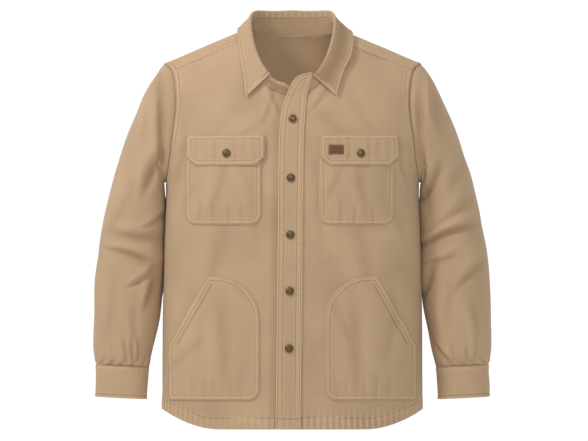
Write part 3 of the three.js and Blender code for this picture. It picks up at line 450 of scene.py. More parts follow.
def folds(rows, x, z, mirror=1):
    """Height of a table of folds at x and z. Across its line a fold is a bell-shaped trough with a
    lower, wider bell on its upper side; along it, it fades with the cube of the distance."""
    total = np.zeros(np.broadcast(x, z).shape)
    for middle, height, angle, length, width, depth, bow in rows:
        c, s = np.cos(np.radians(angle)), np.sin(np.radians(angle))
        dx, dz = (mirror * x - middle), (z - height)
        run = (dx * c + dz * s) / (length / 2)
        side = -dx * s + dz * c - bow * (run**2 - 0.3)
        narrow = width * (0.75 + 0.25 * np.clip(run, -1, 1))
        fade = np.exp(-1.3 * np.abs(run) ** 3)
        trough = np.exp(-((side / narrow) ** 2))
        ridge = np.exp(-(((side - 1.7 * narrow) / (1.4 * narrow)) ** 2))
        total += depth * fade * (0.5 * ridge - trough)
    return total


def ripple(run, period, seed=0.0):
    """Uneven puckers along a seam: a sine whose phase and height wander slowly."""
    phase = 2 * np.pi * run / period + 1.4 * np.sin(run / (3.7 * period) + seed) + seed
    return np.sin(phase) * (0.62 + 0.38 * np.sin(run / (5.3 * period) + 2.2 * seed))


def seam(distance, run, rows, swell=0.8, pucker=0.3, period=9.0, seed=0.0):
    """Relief beside a sewn edge: a raised band of turned-in cloth as far as the last row of
    stitches, a groove under each row, and puckers that fade to both sides of it."""
    last = max(rows)
    height = swell * ease(distance / 0.9) * (1 - ease((distance - last) / 2.6))
    for row in rows:
        height = height - 0.6 * np.exp(-(((distance - row) / 0.9) ** 2))
    return height + pucker * ripple(run, period, seed) * beside(distance, rows)


def beside(distance, rows):
    """How strongly puckers show at a distance from the edge: a bell over the rows."""
    last = max(rows)
    return np.exp(-(((distance - 0.62 * last) / (4.5 + 0.55 * last)) ** 2))


def seam_wear_and_painted_shade(distance, run, rows, pucker=0.3, period=9.0, seed=0.0):
    """Tone of the cloth beside a sewn edge, from -1 in a groove to 1 where it is palest: painted shadow as a
    dark line under each row, a paler band on both sides of it and at the edge that is partly wear and partly
    painted highlight, and painted highlight on the tops of the puckers with painted shade in their hollows."""
    tone = 0.14 * (1 - ease((distance - max(rows)) / 2.2)) + 0.7 * np.exp(-((distance / 0.8) ** 2))
    for row in rows:
        tone = tone - 1.3 * np.exp(-(((distance - row) / 0.8) ** 2))
        tone = tone + 0.55 * np.exp(-(((np.abs(distance - row) - 1.7) / 0.75) ** 2))
    return tone + 0.55 * pucker * ripple(run, period, seed) * beside(distance, rows)


def painted_crease_shade(height, depth):
    """Painted shade in the hollows of the folds and painted highlight on their tops, as a tone from the
    fold's height over its depth.
    """
    return 0.3 * np.clip(height / depth, -1, 1)


# ---------------------------------------------------------------- the body's surface
def half(z):
    return read(TORSO, z, 1)


def deep(face, z):
    return read(TORSO, z, 2 if face == FRONT else 3)


def shoulder(x):
    """The shoulder line falls evenly from the neck, rounded off at the middle."""
    return TIP_Z + SLOPE * (np.hypot(TIP, NECK_ROUND) - np.hypot(x, NECK_ROUND))


def across(x, z):
    return np.maximum(0, 1 - (np.abs(x) / half(z)) ** SQUARE) ** (1 / SQUARE)


def closing(face, x, z):
    q = np.clip((z - TURN[face]) / (shoulder(x) - TURN[face]), 0, 1)
    return np.maximum(0, 1 - q ** LEAN[face]) ** (1 / LEAN[face])


def turn_at(x, z):
    return np.arcsin(np.clip(power(x / half(z), SQUARE / 2), -1, 1))


def x_at(g, z):
    return half(z) * power(np.sin(g), 2 / SQUARE)


def face_point(face, g, z):
    """A point of the body by its turn g round a superellipse and its height, the depth shrunk by
    the same kind of curve as it nears the shoulder line."""
    x = x_at(g, z)
    y = face * deep(face, z) * power(np.cos(g), 2 / SQUARE) * closing(face, x, z)
    return np.stack([x, y, z * np.ones_like(x)], -1)


def ridge_point(x, a):
    """A point over the shoulder by x and the angle a from its ridge, forward where negative."""
    out = []
    for face in (FRONT, BACK):
        z = TURN[face] + (shoulder(x) - TURN[face]) * np.cos(a) ** (2 / LEAN[face])
        y = face * deep(face, z) * across(x, z) * np.abs(np.sin(a)) ** (2 / LEAN[face])
        out.append(np.stack([x + 0 * a, y, z], -1))
    return np.where((a < 0)[..., None], out[0], out[1])


def ridge_angle(face, x, z):
    q = np.clip((z - TURN[face]) / (shoulder(x) - TURN[face]), 0, 1)
    return face * np.arccos(q ** (LEAN[face] / 2))


def rim_angle(face, points):
    """Ridge angles of points, each on its own face."""
    front, back = (ridge_angle(each, points[:, 0], points[:, 2]) for each in (FRONT, BACK))
    return np.where(face == FRONT, front, back)


def top_height(x, y):
    """Height of the body over a point in plan, by repeating the depth rule until it settles."""
    out = []
    for face in (FRONT, BACK):
        z = shoulder(x)
        for _ in range(12):
            share = np.clip(np.abs(y) / (deep(face, z) * across(x, z)), 0, 0.999)
            q = (1 - share ** LEAN[face]) ** (1 / LEAN[face])
            z = TURN[face] + q * (shoulder(x) - TURN[face])
        out.append(z)
    return np.where(y < 0, out[0], out[1])


def armhole(turn):
    """The armhole by its turn from the shoulder tip, forward where positive: an egg in side view,
    with x found by halving where the body has that depth."""
    turn = np.asarray(turn, float)
    rad = np.radians(turn)
    z = ARMPIT + (TIP_Z - ARMPIT) / 2 * (1 + np.cos(rad))
    point = np.zeros(turn.shape + (3,))
    for face in (FRONT, BACK):
        y = (ARM_DEEP[face] - ARM_NARROW * np.cos(rad)) * np.abs(np.sin(rad))
        low, high = np.full(z.shape, 0.5 * TIP), half(z)
        for _ in range(40):
            x = (low + high) / 2
            inside = deep(face, z) * across(x, z) * closing(face, x, z) > y
            low, high = np.where(inside, x, low), np.where(inside, high, x)
        on = turn >= 0 if face == FRONT else turn < 0
        point[on] = np.stack([low, face * y, z], -1)[on]
    return point


def neck(turn):
    """The neckline by its turn from the middle of the back: a superellipse in plan."""
    rad = np.radians(np.asarray(turn, float))
    c, s = np.cos(rad), np.sin(rad)
    square = np.where(c < 0, NECK_SQUARE[FRONT], NECK_SQUARE[BACK])
    x = NECK["half"] * power(s, 2 / square)
    y = np.where(c < 0, NECK["front"], NECK["back"]) * power(c, 2 / square)
    return np.stack([x, y, top_height(x, y)], -1)


def neck_depth(x):
    """Depth of the front neckline at x."""
    square = NECK_SQUARE[FRONT]
    return -NECK["front"] * (1 - (np.abs(x) / NECK["half"]) ** square) ** (1 / square)


def hem_height(x):
    share = np.clip((np.abs(x) - HEM_FLAT) / (half(HEM) - HEM_FLAT), 0, 1)
    return HEM + HEM_RISE * share**HEM_POWER


def lap_edge(z):
    return read(LAP, z, 1)


def body_relief(face, x, z, amount):
    """The body's folds, with slight unevenness of two sizes, fading out at the side seams."""
    rows = BODY_FRONT if face == FRONT else BODY_BACK
    sides = ease((half(z) - np.abs(x)) / 26) * 0.85 + 0.15
    soft = 1.3 * drift(x, z, 150, 1 + face) + 0.55 * drift(x, z, 62, 4 + face)
    return amount * (folds(rows, x, z) + soft) * sides


def skin(face, x, z, amount, lift=0.0):
    """The folded body surface at x and z, moved out by lift, with its normal: the cross product of
    small steps in turn and height."""
    step_g, step_z = 0.008, 1.0

    def at(g, height):
        flat = face_point(face, g, height)
        ahead = face_point(face, g + 0.004, height) - face_point(face, g - 0.004, height)
        up = face_point(face, g, height + 0.5) - face_point(face, g, height - 0.5)
        out = unit(np.cross(ahead, up)) * -face
        return flat + body_relief(face, flat[..., 0], height, amount)[..., None] * out

    g = turn_at(x, z)
    normal = unit(np.cross(at(g + step_g, z) - at(g - step_g, z), at(g, z + step_z) - at(g, z - step_z)))
    normal = normal * -face
    return at(g, z) + lift * normal if np.ndim(lift) == 0 else at(g, z) + lift[..., None] * normal, normal


# ---------------------------------------------------------------- meshes
def add_mesh(name, points, faces, looks_material, uv=None, tone=None):
    """A mesh object in metres from points in millimetres, smooth, with its cloth map and tone."""
    mesh = bpy.data.meshes.new(name)
    mesh.from_pydata((points * MM).tolist(), [], faces if isinstance(faces, list) else faces.tolist())
    if uv is not None:
        layer = mesh.uv_layers.new(name="cloth")
        layer.data.foreach_set("uv", (uv * MM).astype(np.float32).ravel())
    if tone is not None:
        field = mesh.attributes.new("tone", "FLOAT", "POINT")
        field.data.foreach_set("value", np.asarray(tone, np.float32))
    mesh.polygons.foreach_set("use_smooth", np.ones(len(faces), bool))
    mesh.materials.append(looks_material)
    mesh.validate()
    piece = bpy.data.objects.new(name, mesh)
    bpy.context.scene.collection.objects.link(piece)
    return piece


def wall(name, points, thick, looks_material, outward, ring=False, tone=0.0, reverse=REVERSE_TONE):
    """A closed wall from a grid: the outer skin, the same grid moved in by the thickness, and a
    rim between them that bulges by a third of it. outward gives a point inside the piece for each
    row, or one for all, that the outer skin faces away from. The reverse of the cloth is paler, partly
    as the cloth's own paler back and partly as painted light on the inside of the jacket, and the rim is
    paler, partly as wear and partly as painted highlight."""
    rows, cols = points.shape[:2]
    facing = normals(points, ring)
    flip = np.sum(facing * (points - outward)) < 0
    facing = -facing if flip else facing
    wrapped = np.concatenate([points, points[:, :1]], 1) if ring else points
    span = wrapped.shape[1]
    u, v = along(wrapped, 1), along(wrapped, 0)
    u = u - u[:, span // 2 : span // 2 + 1]
    rim_out = np.zeros_like(points)
    rim_out[0] += points[0] - points[1]
    rim_out[-1] += points[-1] - points[-2]
    if not ring:
        rim_out[:, 0] += points[:, 0] - points[:, 1]
        rim_out[:, -1] += points[:, -1] - points[:, -2]
    inner = points - thick * facing
    middle = (points + inner) / 2 + 0.36 * thick * unit(rim_out)

    i, j = (k.ravel() for k in np.meshgrid(np.arange(rows - 1), np.arange(span - 1), indexing="ij"))
    corner_i, corner_j = np.stack([i, i, i + 1, i + 1], 1), np.stack([j, j + 1, j + 1, j], 1)
    place, chart = corner_i * cols + corner_j % cols, corner_i * span + corner_j
    faces, charts = [place, place[:, ::-1] + rows * cols], [chart, chart[:, ::-1]]
    if ring:
        wide = np.arange(span)
        loops = [(np.zeros(span, int), wide), (np.full(span, rows - 1), wide[::-1])]
    else:
        a, b = np.arange(rows), np.arange(cols)
        loops = [
            (
                np.concatenate([np.zeros(cols, int), a[1:], np.full(cols - 1, rows - 1), a[-2::-1]]),
                np.concatenate([b, np.full(rows - 1, cols - 1), b[-2::-1], np.zeros(rows - 1, int)]),
            )
        ]
    extra, start = [], 2 * rows * cols
    for ri, rj in loops:
        flat = ri * cols + rj % cols
        count = len(flat) - 1
        k = np.arange(count)
        mid = start + np.append(k, 0)
        extra.append(middle.reshape(-1, 3)[flat[:-1]])
        start += count
        low = flat + rows * cols
        sheet = ri * span + rj
        faces.append(np.stack([flat[k + 1], flat[k], mid[k], mid[k + 1]], 1))
        faces.append(np.stack([mid[k + 1], mid[k], low[k], low[k + 1]], 1))
        charts += [np.stack([sheet[k + 1], sheet[k], sheet[k], sheet[k + 1]], 1)] * 2
    faces, charts = np.concatenate(faces), np.concatenate(charts)
    if flip:
        faces, charts = faces[:, ::-1], charts[:, ::-1]
    verts = np.concatenate([points.reshape(-1, 3), inner.reshape(-1, 3), *extra])
    uv = np.stack([u.ravel(), v.ravel()], 1)[charts.ravel()]
    # The inner skin takes the reverse's tone, by default paler as the cloth's back and as painted light, and
    # the rim the edges' tone, paler as wear and as painted highlight.
    field = np.full(len(verts), float(reverse))
    field[: rows * cols] = np.broadcast_to(tone, (rows, cols)).ravel()
    field[2 * rows * cols :] = EDGE_TONE
    return add_mesh(name, verts, faces, looks_material, uv, field), facing


def ring_quads(levels, count):
    """Faces between closed rings of points, one ring after another."""
    i, j = (k.ravel() for k in np.meshgrid(np.arange(levels - 1), np.arange(count), indexing="ij"))
    nxt = (j + 1) % count
    return np.stack([i * count + j, i * count + nxt, (i + 1) * count + nxt, (i + 1) * count + j], 1)


def at_distance(points, facing, distance, side):
    """The path on a grid that keeps a distance from one side of it, and its normals, by straight
    interpolation between the two grid points on either side of that distance."""
    if side in ("bottom", "top"):
        points, facing = points.transpose(1, 0, 2), facing.transpose(1, 0, 2)
    if side in ("right", "top"):
        points, facing = points[:, ::-1], facing[:, ::-1]
    run = along(points, 1)
    k = np.clip((run < distance).sum(1) - 1, 0, points.shape[1] - 2)
    row = np.arange(len(points))
    t = ((distance - run[row, k]) / (run[row, k + 1] - run[row, k]))[:, None]
    return mix(points[row, k], points[row, k + 1], t), mix(facing[row, k], facing[row, k + 1], t)


def trim(path, start, end):
    """A path without its first and last stretch."""
    points, facing = path
    run = along(points, 0)
    keep = (run >= start) & (run <= run[-1] - end)
    return points[keep], facing[keep]


def sew(name, paths, looks, nodes_material):
    """Rows of stitches: each is a four-sided thread, pointed at both ends, laid along its path at
    an even pitch and proud of the cloth by half its height."""
    pitch = looks.stitch_pitch / MM
    centres, ahead, outs = [], [], []

    def line(values, run, where):
        return np.stack([np.interp(where, run, values[:, k]) for k in range(3)], 1)

    for points, facing in paths:
        run = along(points, 0)
        if len(run) < 3 or run[-1] < pitch:
            continue
        at = np.arange(pitch / 2, run[-1], pitch)
        centres.append(line(points, run, at))
        ahead.append(unit(line(points, run, at + 0.4) - line(points, run, at - 0.4)))
        outs.append(unit(line(facing, run, at)))
    centre, ahead, out = np.concatenate(centres), np.concatenate(ahead), np.concatenate(outs)
    side = unit(np.cross(out, ahead))
    ring = np.array([(1, 0), (0, 1), (-1, 0), (0, -1)], float)
    thick = STITCH_PROFILE[:, 1, None]
    verts = (
        centre[:, None, None]
        + (STITCH_PROFILE[:, 0] * pitch * STITCH_LONG)[None, :, None, None] * ahead[:, None, None]
        + (thick * ring[:, 0] * STITCH_WIDE)[None, :, :, None] * side[:, None, None]
        + (thick * (ring[:, 1] + 0.15) * STITCH_TALL)[None, :, :, None] * out[:, None, None]
    ).reshape(-1, 3)
    one = [
        [start + (k + 1) % 4, start + k, start + k + 4, start + 4 + (k + 1) % 4]
        for start in (0, 4) for k in range(4)
    ]
    one += [[0, 1, 2, 3], [11, 10, 9, 8]]
    faces = (np.array(one)[None] + 12 * np.arange(len(centre))[:, None, None]).reshape(-1, 4)
    piece = add_mesh(name, verts, faces, nodes_material)
    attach(piece, "root")
    return piece


def finish(piece, node):
    """Ride on the body and stand for the CAD node."""
    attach(piece, "root")
    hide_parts(node)
    return piece


# ---------------------------------------------------------------- materials
def sockets(node, **values):
    for name, value in values.items():
        node.inputs[name.replace("_", " ")].default_value = value


def material(name):
    """A new material with its shader, a node maker and a link maker."""
    made = bpy.data.materials.new(name)
    made.use_nodes = True
    tree = made.node_tree
    shader = tree.nodes["Principled BSDF"]

    def node(kind, **settings):
        new = tree.nodes.new(kind)
        for key, value in settings.items():
            setattr(new, key, value)
        return new

    return made, shader, node, tree.links.new


def noise(node, link, source, scale, detail=3.0, rough=0.55):
    made = node("ShaderNodeTexNoise")
    sockets(made, Scale=scale, Detail=detail, Roughness=rough)
    link(source, made.inputs["Vector"])
    return made.outputs["Fac"]


def spread(node, link, source, low, high, to_low, to_high):
    made = node("ShaderNodeMapRange")
    for socket, value in zip(made.inputs[1:5], (low, high, to_low, to_high)):
        socket.default_value = value
    link(source, made.inputs[0])
    return made.outputs[0]


def maths(node, link, kind, a, b):
    made = node("ShaderNodeMath", operation=kind)
    for socket, value in zip(made.inputs, (a, b)):
        if isinstance(value, (int, float)):
            socket.default_value = value
        else:
            link(value, socket)
    return made.outputs[0]


def blend(node, link, fac, a, b, kind="MIX"):
    made = node("ShaderNodeMix", data_type="RGBA", blend_type=kind)
    for socket, value in ((made.inputs[0], fac), (made.inputs[6], a), (made.inputs[7], b)):
        if isinstance(value, (int, float)):
            socket.default_value = value
        elif isinstance(value, (tuple, list)):
            socket.default_value = (*value, 1.0)
        else:
            link(value, socket)
    return made.outputs[2]


def bump(node, link, height, strength, distance, under=None):
    """A bump from a height, on top of another one where there is one below it."""
    made = node("ShaderNodeBump")
    sockets(made, Strength=strength, Distance=distance)
    link(height, made.inputs["Height"])
    if under is not None:
        link(under, made.inputs["Normal"])
    return made.outputs[0]


def canvas_material(name, looks):
    """Twill canvas: diagonal ribs crossed by finer threads in the cloth's own map, cloudy dye in
    object space, and the tone attribute: where negative it darkens the colour as painted shade in grooves,
    creases and shaded places, and where positive it pales it as wear and as painted light and highlight."""
    made, shader, node, link = material(name)
    base = list(looks.canvas)
    place = node("ShaderNodeTexCoord").outputs["Object"]
    chart = node("ShaderNodeUVMap", uv_map="cloth").outputs["UV"]
    tone = node("ShaderNodeAttribute", attribute_name="tone").outputs["Fac"]

    split = node("ShaderNodeSeparateXYZ")
    link(chart, split.inputs[0])
    u, v = split.outputs[0], split.outputs[1]
    wobble = maths(node, link, "MULTIPLY", noise(node, link, chart, 260.0, 2.0), 0.0009)
    turns = 2 * np.pi / looks.rib
    slant = maths(node, link, "ADD", u, maths(node, link, "MULTIPLY", v, 0.8))
    slant = maths(node, link, "ADD", slant, wobble)
    rib = maths(node, link, "SINE", maths(node, link, "MULTIPLY", slant, turns), 0)
    weft = maths(node, link, "SINE", maths(node, link, "MULTIPLY", v, turns * 1.9), 0)
    weave = maths(node, link, "ADD", rib, maths(node, link, "MULTIPLY", weft, 0.45))
    fuzz = noise(node, link, chart, 2600.0, 2.0)
    slub = noise(node, link, chart, 420.0, 3.0)

    cloud = spread(node, link, noise(node, link, place, 5.5, 4.0), 0.3, 0.7, 0.0, 1.0)
    mottle = spread(node, link, noise(node, link, place, 60.0, 4.0, 0.65), 0.25, 0.75, 0.0, 1.0)
    dark, light = [c * 0.95 for c in base], [min(1.0, c * 1.05) for c in base]
    colour = blend(node, link, cloud, dark, light)
    colour = blend(node, link, maths(node, link, "MULTIPLY", mottle, 0.35), colour, [c * 1.09 for c in base])
    colour = blend(
        node, link, spread(node, link, weave, -1.4, 1.4, 0.0, 0.22), colour, [c * 0.72 for c in base]
    )
    thick = spread(node, link, slub, 0.45, 0.8, 0.0, 0.3)
    colour = blend(node, link, thick, colour, [c * 1.14 for c in base])
    uneven = spread(node, link, noise(node, link, place, 320.0, 2.0), 0.3, 0.7, 0.75, 1.25)
    # Painted light and wear: a positive tone pales the colour, for worn edges and for painted highlights and
    # painted light on the reverse.
    wear_and_painted_light = maths(node, link, "MULTIPLY", spread(node, link, tone, 0.0, 2.0, 0.0, 1.6), uneven)
    colour = blend(node, link, wear_and_painted_light, colour, [min(1.0, c * 1.3 + 0.02) for c in base])
    # Painted shade: a negative tone darkens the colour in grooves, fold hollows and shaded places.
    hollow = maths(node, link, "MULTIPLY", spread(node, link, tone, 0.0, -1.0, 0.0, 0.62), uneven)
    colour = blend(node, link, hollow, colour, [base[0] * 0.40, base[1] * 0.34, base[2] * 0.27])
    link(colour, shader.inputs["Base Color"])

    rough = spread(node, link, slub, 0.2, 0.8, 0.82, 0.96)
    link(rough, shader.inputs["Roughness"])
    sockets(shader, Specular_IOR_Level=0.22, Sheen_Weight=0.12, Sheen_Roughness=0.55)

    height = maths(node, link, "ADD", maths(node, link, "MULTIPLY", weave, 0.5), fuzz)
    fine = bump(node, link, height, 0.45, 0.00016)
    soft = bump(node, link, noise(node, link, place, 95.0, 4.0, 0.6), 0.35, 0.0012, fine)
    link(soft, shader.inputs["Normal"])
    return made


def thread_material(looks):
    """Spun sewing thread, paler than the cloth and a little uneven."""
    made, shader, node, link = material("thread")
    place = node("ShaderNodeTexCoord").outputs["Object"]
    patch = noise(node, link, place, 900.0, 2.0)
    low, high = [c * 0.82 for c in looks.thread], [min(1.0, c * 1.08) for c in looks.thread]
    link(blend(node, link, patch, low, high), shader.inputs["Base Color"])
    link(spread(node, link, patch, 0, 1, 0.55, 0.75), shader.inputs["Roughness"])
    link(bump(node, link, noise(node, link, place, 3500.0, 1.0), 0.4, 0.0001), shader.inputs["Normal"])
    return made


def brass_material(looks):
    """Blackened brass: dark in its hollows, worn brighter in patches, finely pitted."""
    made, shader, node, link = material("antique_brass")
    place = node("ShaderNodeTexCoord").outputs["Object"]
    tone = node("ShaderNodeAttribute", attribute_name="tone").outputs["Fac"]
    patch = spread(node, link, noise(node, link, place, 420.0, 4.0), 0.35, 0.7, 0.0, 0.5)
    amount = maths(node, link, "MAXIMUM", patch, tone)
    dark = [c * 0.42 for c in looks.brass]
    link(blend(node, link, amount, dark, list(looks.brass)), shader.inputs["Base Color"])
    link(spread(node, link, amount, 0, 1, 0.52, 0.34), shader.inputs["Roughness"])
    sockets(shader, Metallic=0.85)
    link(bump(node, link, noise(node, link, place, 1600.0, 3.0), 0.3, 0.0001), shader.inputs["Normal"])
    return made


def leather_material(looks):
    """Smooth brown leather: pebbled grain with darker pores, scuffed paler at its edges."""
    made, shader, node, link = material("brown_leather")
    place = node("ShaderNodeTexCoord").outputs["Object"]
    worn = node("ShaderNodeAttribute", attribute_name="tone").outputs["Fac"]
    grain = node("ShaderNodeTexVoronoi", feature="DISTANCE_TO_EDGE")
    sockets(grain, Scale=900.0)
    link(place, grain.inputs["Vector"])
    pores = spread(node, link, grain.outputs["Distance"], 0.0, 0.25, 0.0, 1.0)
    cloud = noise(node, link, place, 120.0, 4.0)
    tone = blend(node, link, cloud, [c * 0.72 for c in looks.leather], [c * 1.22 for c in looks.leather])
    scuff = spread(node, link, worn, 0.0, 1.0, 0.0, 0.5)
    tone = blend(node, link, scuff, tone, [c * 1.7 for c in looks.leather])
    link(blend(node, link, pores, [c * 0.55 for c in looks.leather], tone), shader.inputs["Base Color"])
    link(spread(node, link, cloud, 0, 1, 0.5, 0.72), shader.inputs["Roughness"])
    link(bump(node, link, pores, 0.5, 0.00012), shader.inputs["Normal"])
    return made


def word_of(side):
    return "left" if side > 0 else "right"


def shared(name, maker, *values):
    return bpy.data.materials.get(name) or maker(*values)


def looks_of(context):
    return context.scene.jacket_looks


def cloth_of(context):
    return shared("canvas_twill", canvas_material, "canvas_twill", looks_of(context))


def thread_of(context):
    return shared("thread", thread_material, looks_of(context))


# ---------------------------------------------------------------- panels
def boundary(points, counts):
    """A reader of a chain of boundary stretches: stretch k fills counts[k] of the whole."""
    edges = np.cumsum([0, *counts]) / np.sum(counts)
    keys, values = [], []
    for stretch, low, high in zip(points, edges[:-1], edges[1:]):
        keys.append(np.linspace(low, high, len(stretch)))
        values.append(stretch)
    keys, values = np.concatenate(keys), np.concatenate(values)
    return lambda t: np.stack([np.interp(t, keys, values[:, k]) for k in range(2)], -1)


def patch(bottom, top, left, right, u, v):
    """A patch between four edges: the two straight blends between opposite edges, added, less the
    straight blend of the corners."""
    u_, v_ = u[None, :, None], v[:, None, None]
    low, high, start, end = bottom(u)[None], top(u)[None], left(v)[:, None], right(v)[:, None]
    corner = [edge(np.array([t]))[None] for edge, t in ((bottom, 0), (bottom, 1), (top, 0), (top, 1))]
    blend_u, blend_v = mix(start, end, u_), mix(low, high, v_)
    return blend_u + blend_v - mix(mix(corner[0], corner[1], u_), mix(corner[2], corner[3], u_), v_)


def side_edge(face, corner_turn):
    """Side seam from hem to armpit, then the armhole up to the yoke, as turn and height."""
    z = np.linspace(HEM + HEM_RISE, ARMPIT, 60)
    share = SEAM_GAP / 2 / deep(face, z)
    seam_line = np.stack([np.arccos(share ** (SQUARE / 2)), z], 1)
    hole = armhole(np.linspace(-face * 180, -face * corner_turn, 90))
    return [seam_line, np.stack([turn_at(hole[:, 0], hole[:, 2]), hole[:, 2]], 1)]


def hem_edge(from_g, to_g):
    g = np.linspace(from_g, to_g, 120)
    return [np.stack([g, hem_height(x_at(g, HEM))], 1)]


def yoke_front_seam():
    tip, collar = armhole(np.array([ARM_FRONT]))[0], neck(np.array([NECK_CORNER]))[0]
    ends = [(p[0], ridge_angle(FRONT, p[0], p[2])) for p in (tip, collar)]
    t = np.linspace(0, 1, 60)
    return mix(ends[0][0], ends[1][0], t), mix(ends[0][1], ends[1][1], t)


def front_grid(side, u, v):
    """Turn and height over one front, between its hem, side, shoulder and neck, and its edge at
    the middle. The wearer's right front runs on beneath the lap in extra columns."""
    outer = side_edge(FRONT, ARM_FRONT)
    x, a = yoke_front_seam()
    seam_z = ridge_point(x, a)[:, 2] - SEAM_GAP
    top = np.stack([turn_at(x, seam_z), seam_z], 1)
    lap_top = lap_edge(neck(np.array([180.0]))[0, 2])
    if side > 0:
        end_turn = NECK_END["left"]
    else:
        across_neck = (TUCK_EASE - lap_top) / NECK["half"]
        end_turn = 180 - np.degrees(np.arcsin(across_neck ** (NECK_SQUARE[FRONT] / 2)))
    around = neck(np.linspace(NECK_CORNER, end_turn, 80))
    around = np.stack([turn_at(around[:, 0], around[:, 2]), around[:, 2]], 1)
    around[0], outer[1][-1] = top[-1], top[0]
    z = np.linspace(float(hem_height(0.0)), around[-1, 1], 160)
    edge = lap_edge(z) if side > 0 else TUCK_EASE - lap_edge(z)
    middle = np.stack([turn_at(edge, z), z], 1)
    middle[-1] = around[-1]
    hem = hem_edge(outer[0][0, 0], middle[0, 0])
    hem[0][0] = outer[0][0]
    grid = patch(
        boundary(hem, [1]),
        boundary([top, around], [SHOULDER_SHARE, NECK_SHARE]),
        boundary(outer, [SIDE_SHARE, ARM_SHARE]),
        boundary([middle], [1]),
        u, v,
    )
    if side < 0:
        height = grid[:, -1:, 1]
        past = np.concatenate([np.linspace(-TUCK_EASE, 0, 9)[1:], np.linspace(0, UNDERLAP, 12)[1:]])
        x = -lap_edge(height) - past
        end = around[-1, 1]
        share = (height - hem_height(0.0)) / (end - hem_height(0.0))
        down = end - top_height(x, neck_depth(x))
        under = np.stack([turn_at(x, height), height - down * share**UNDERLAP_BEND], -1)
        grid = np.concatenate([grid, under], 1)
    return grid


def edge_field(points, side):
    """Distance in from one side of a grid, and the run along that side."""
    if side == "left":
        return along(points, 1), along(points, 0)[:, :1]
    if side == "right":
        run = along(points, 1)
        return run[:, -1:] - run, along(points, 0)[:, -1:]
    run = along(points, 0)
    if side == "bottom":
        return run, along(points, 1)[:1]
    return run[-1:] - run, along(points, 1)[-1:]


def sewing(points, plan):
    """Relief and tone of a grid from its plan of sewn edges. A row of the plan gives the side, the
    stitch rows in from it, swell, pucker, period and seed, and where along the side it holds."""
    relief, tone = np.zeros(points.shape[:2]), np.zeros(points.shape[:2])
    for side, rows, swell, pucker, period, seed, where in plan:
        reach, run = edge_field(points, side)
        relief = relief + where * seam(reach, run, rows, swell, pucker, period, seed)
        tone = tone + where * seam_wear_and_painted_shade(reach, run, rows, pucker, period, seed)
    return relief, tone


def build_front(context, side):
    looks = looks_of(context)
    name = f"front_{word_of(side)}"
    u = lines(330, 2.6, SEWN, PLAIN)
    v = lines(740, 3.3, HEM_LINES, PLAIN)
    grid = front_grid(side, u, v)
    g, z = grid[..., 0] * side, grid[..., 1]
    x = x_at(g, z)
    flat, facing = skin(FRONT, x, z, looks.fold)
    sunk = TUCK * ease((x - lap_edge(z) + TUCK_EASE) / TUCK_EASE) if side < 0 else 0 * x
    corner = SIDE_SHARE / (SIDE_SHARE + ARM_SHARE)
    arm = ease((v - corner) / 0.03)[:, None]
    relief, tone = sewing(
        flat,
        (
            ("left", ARM_ROWS, 0.9, 0.18, 13, side, arm),
            ("bottom", (HEM_BAND,), 0.5, 1.2, 12.4, 2 * side, 1),
        ),
    )
    points = flat + (relief - sunk)[..., None] * facing
    # Painted shade in the hollows of the body's folds and painted highlight on their tops.
    tone = tone + painted_crease_shade(body_relief(FRONT, x, z, 1), 3)
    piece, facing = wall(name, points, CLOTH, cloth_of(context), points * (0, 0, 1), tone=tone)
    first = int(np.argmin(np.abs(v - corner))) + 2
    paths = [at_distance(points[first:], facing[first:], row, "left") for row in ARM_ROWS]
    paths += [trim(at_distance(points, facing, HEM_BAND, "bottom"), 1, 1)]
    thread = sew(f"stitches_{name}", paths, looks, thread_of(context))
    return finish(piece, name)


def build_back(context):
    looks = looks_of(context)
    edge = side_edge(BACK, ARM_BACK)
    reach = armhole(np.array([-ARM_BACK]))[0, 0]
    x = np.linspace(reach, -reach, 160)
    height = YOKE_BACK - SEAM_GAP
    top = np.stack([turn_at(x, height), np.full(len(x), float(height))], 1)
    edge[1][-1] = top[0]
    other = [stretch * (-1, 1) for stretch in edge]
    hem = hem_edge(edge[0][0, 0], other[0][0, 0])
    u = lines(560, 3.0)
    v = lines(640, 3.3, HEM_LINES, PLAIN)
    grid = patch(
        boundary(hem, [1]),
        boundary([top], [1]),
        boundary(edge, [SIDE_SHARE, BACK_ARM_SHARE]),
        boundary(other, [SIDE_SHARE, BACK_ARM_SHARE]),
        u, v,
    )
    g, z = grid[..., 0], grid[..., 1]
    flat, facing = skin(BACK, x_at(g, z), z, looks.fold)
    relief, tone = sewing(
        flat,
        (
            ("left", ARM_ROWS, 0.9, 0.18, 13, 1, 1),
            ("right", ARM_ROWS, 0.9, 0.18, 13, 2, 1),
            ("bottom", (HEM_BAND,), 0.5, 1.2, 12.4, 5, 1),
        ),
    )
    points = flat + relief[..., None] * facing
    # Painted shade in the hollows of the body's folds and painted highlight on their tops.
    tone = tone + painted_crease_shade(body_relief(BACK, x_at(g, z), z, 1), 4)
    piece, facing = wall("back", points, CLOTH, cloth_of(context), points * (0, 0, 1), tone=tone)
    paths = [at_distance(points, facing, row, side) for row in ARM_ROWS for side in ("left", "right")]
    paths.append(trim(at_distance(points, facing, HEM_BAND, "bottom"), 1, 1))
    thread = sew("stitches_back", paths, looks, thread_of(context))
    return finish(piece, "back")


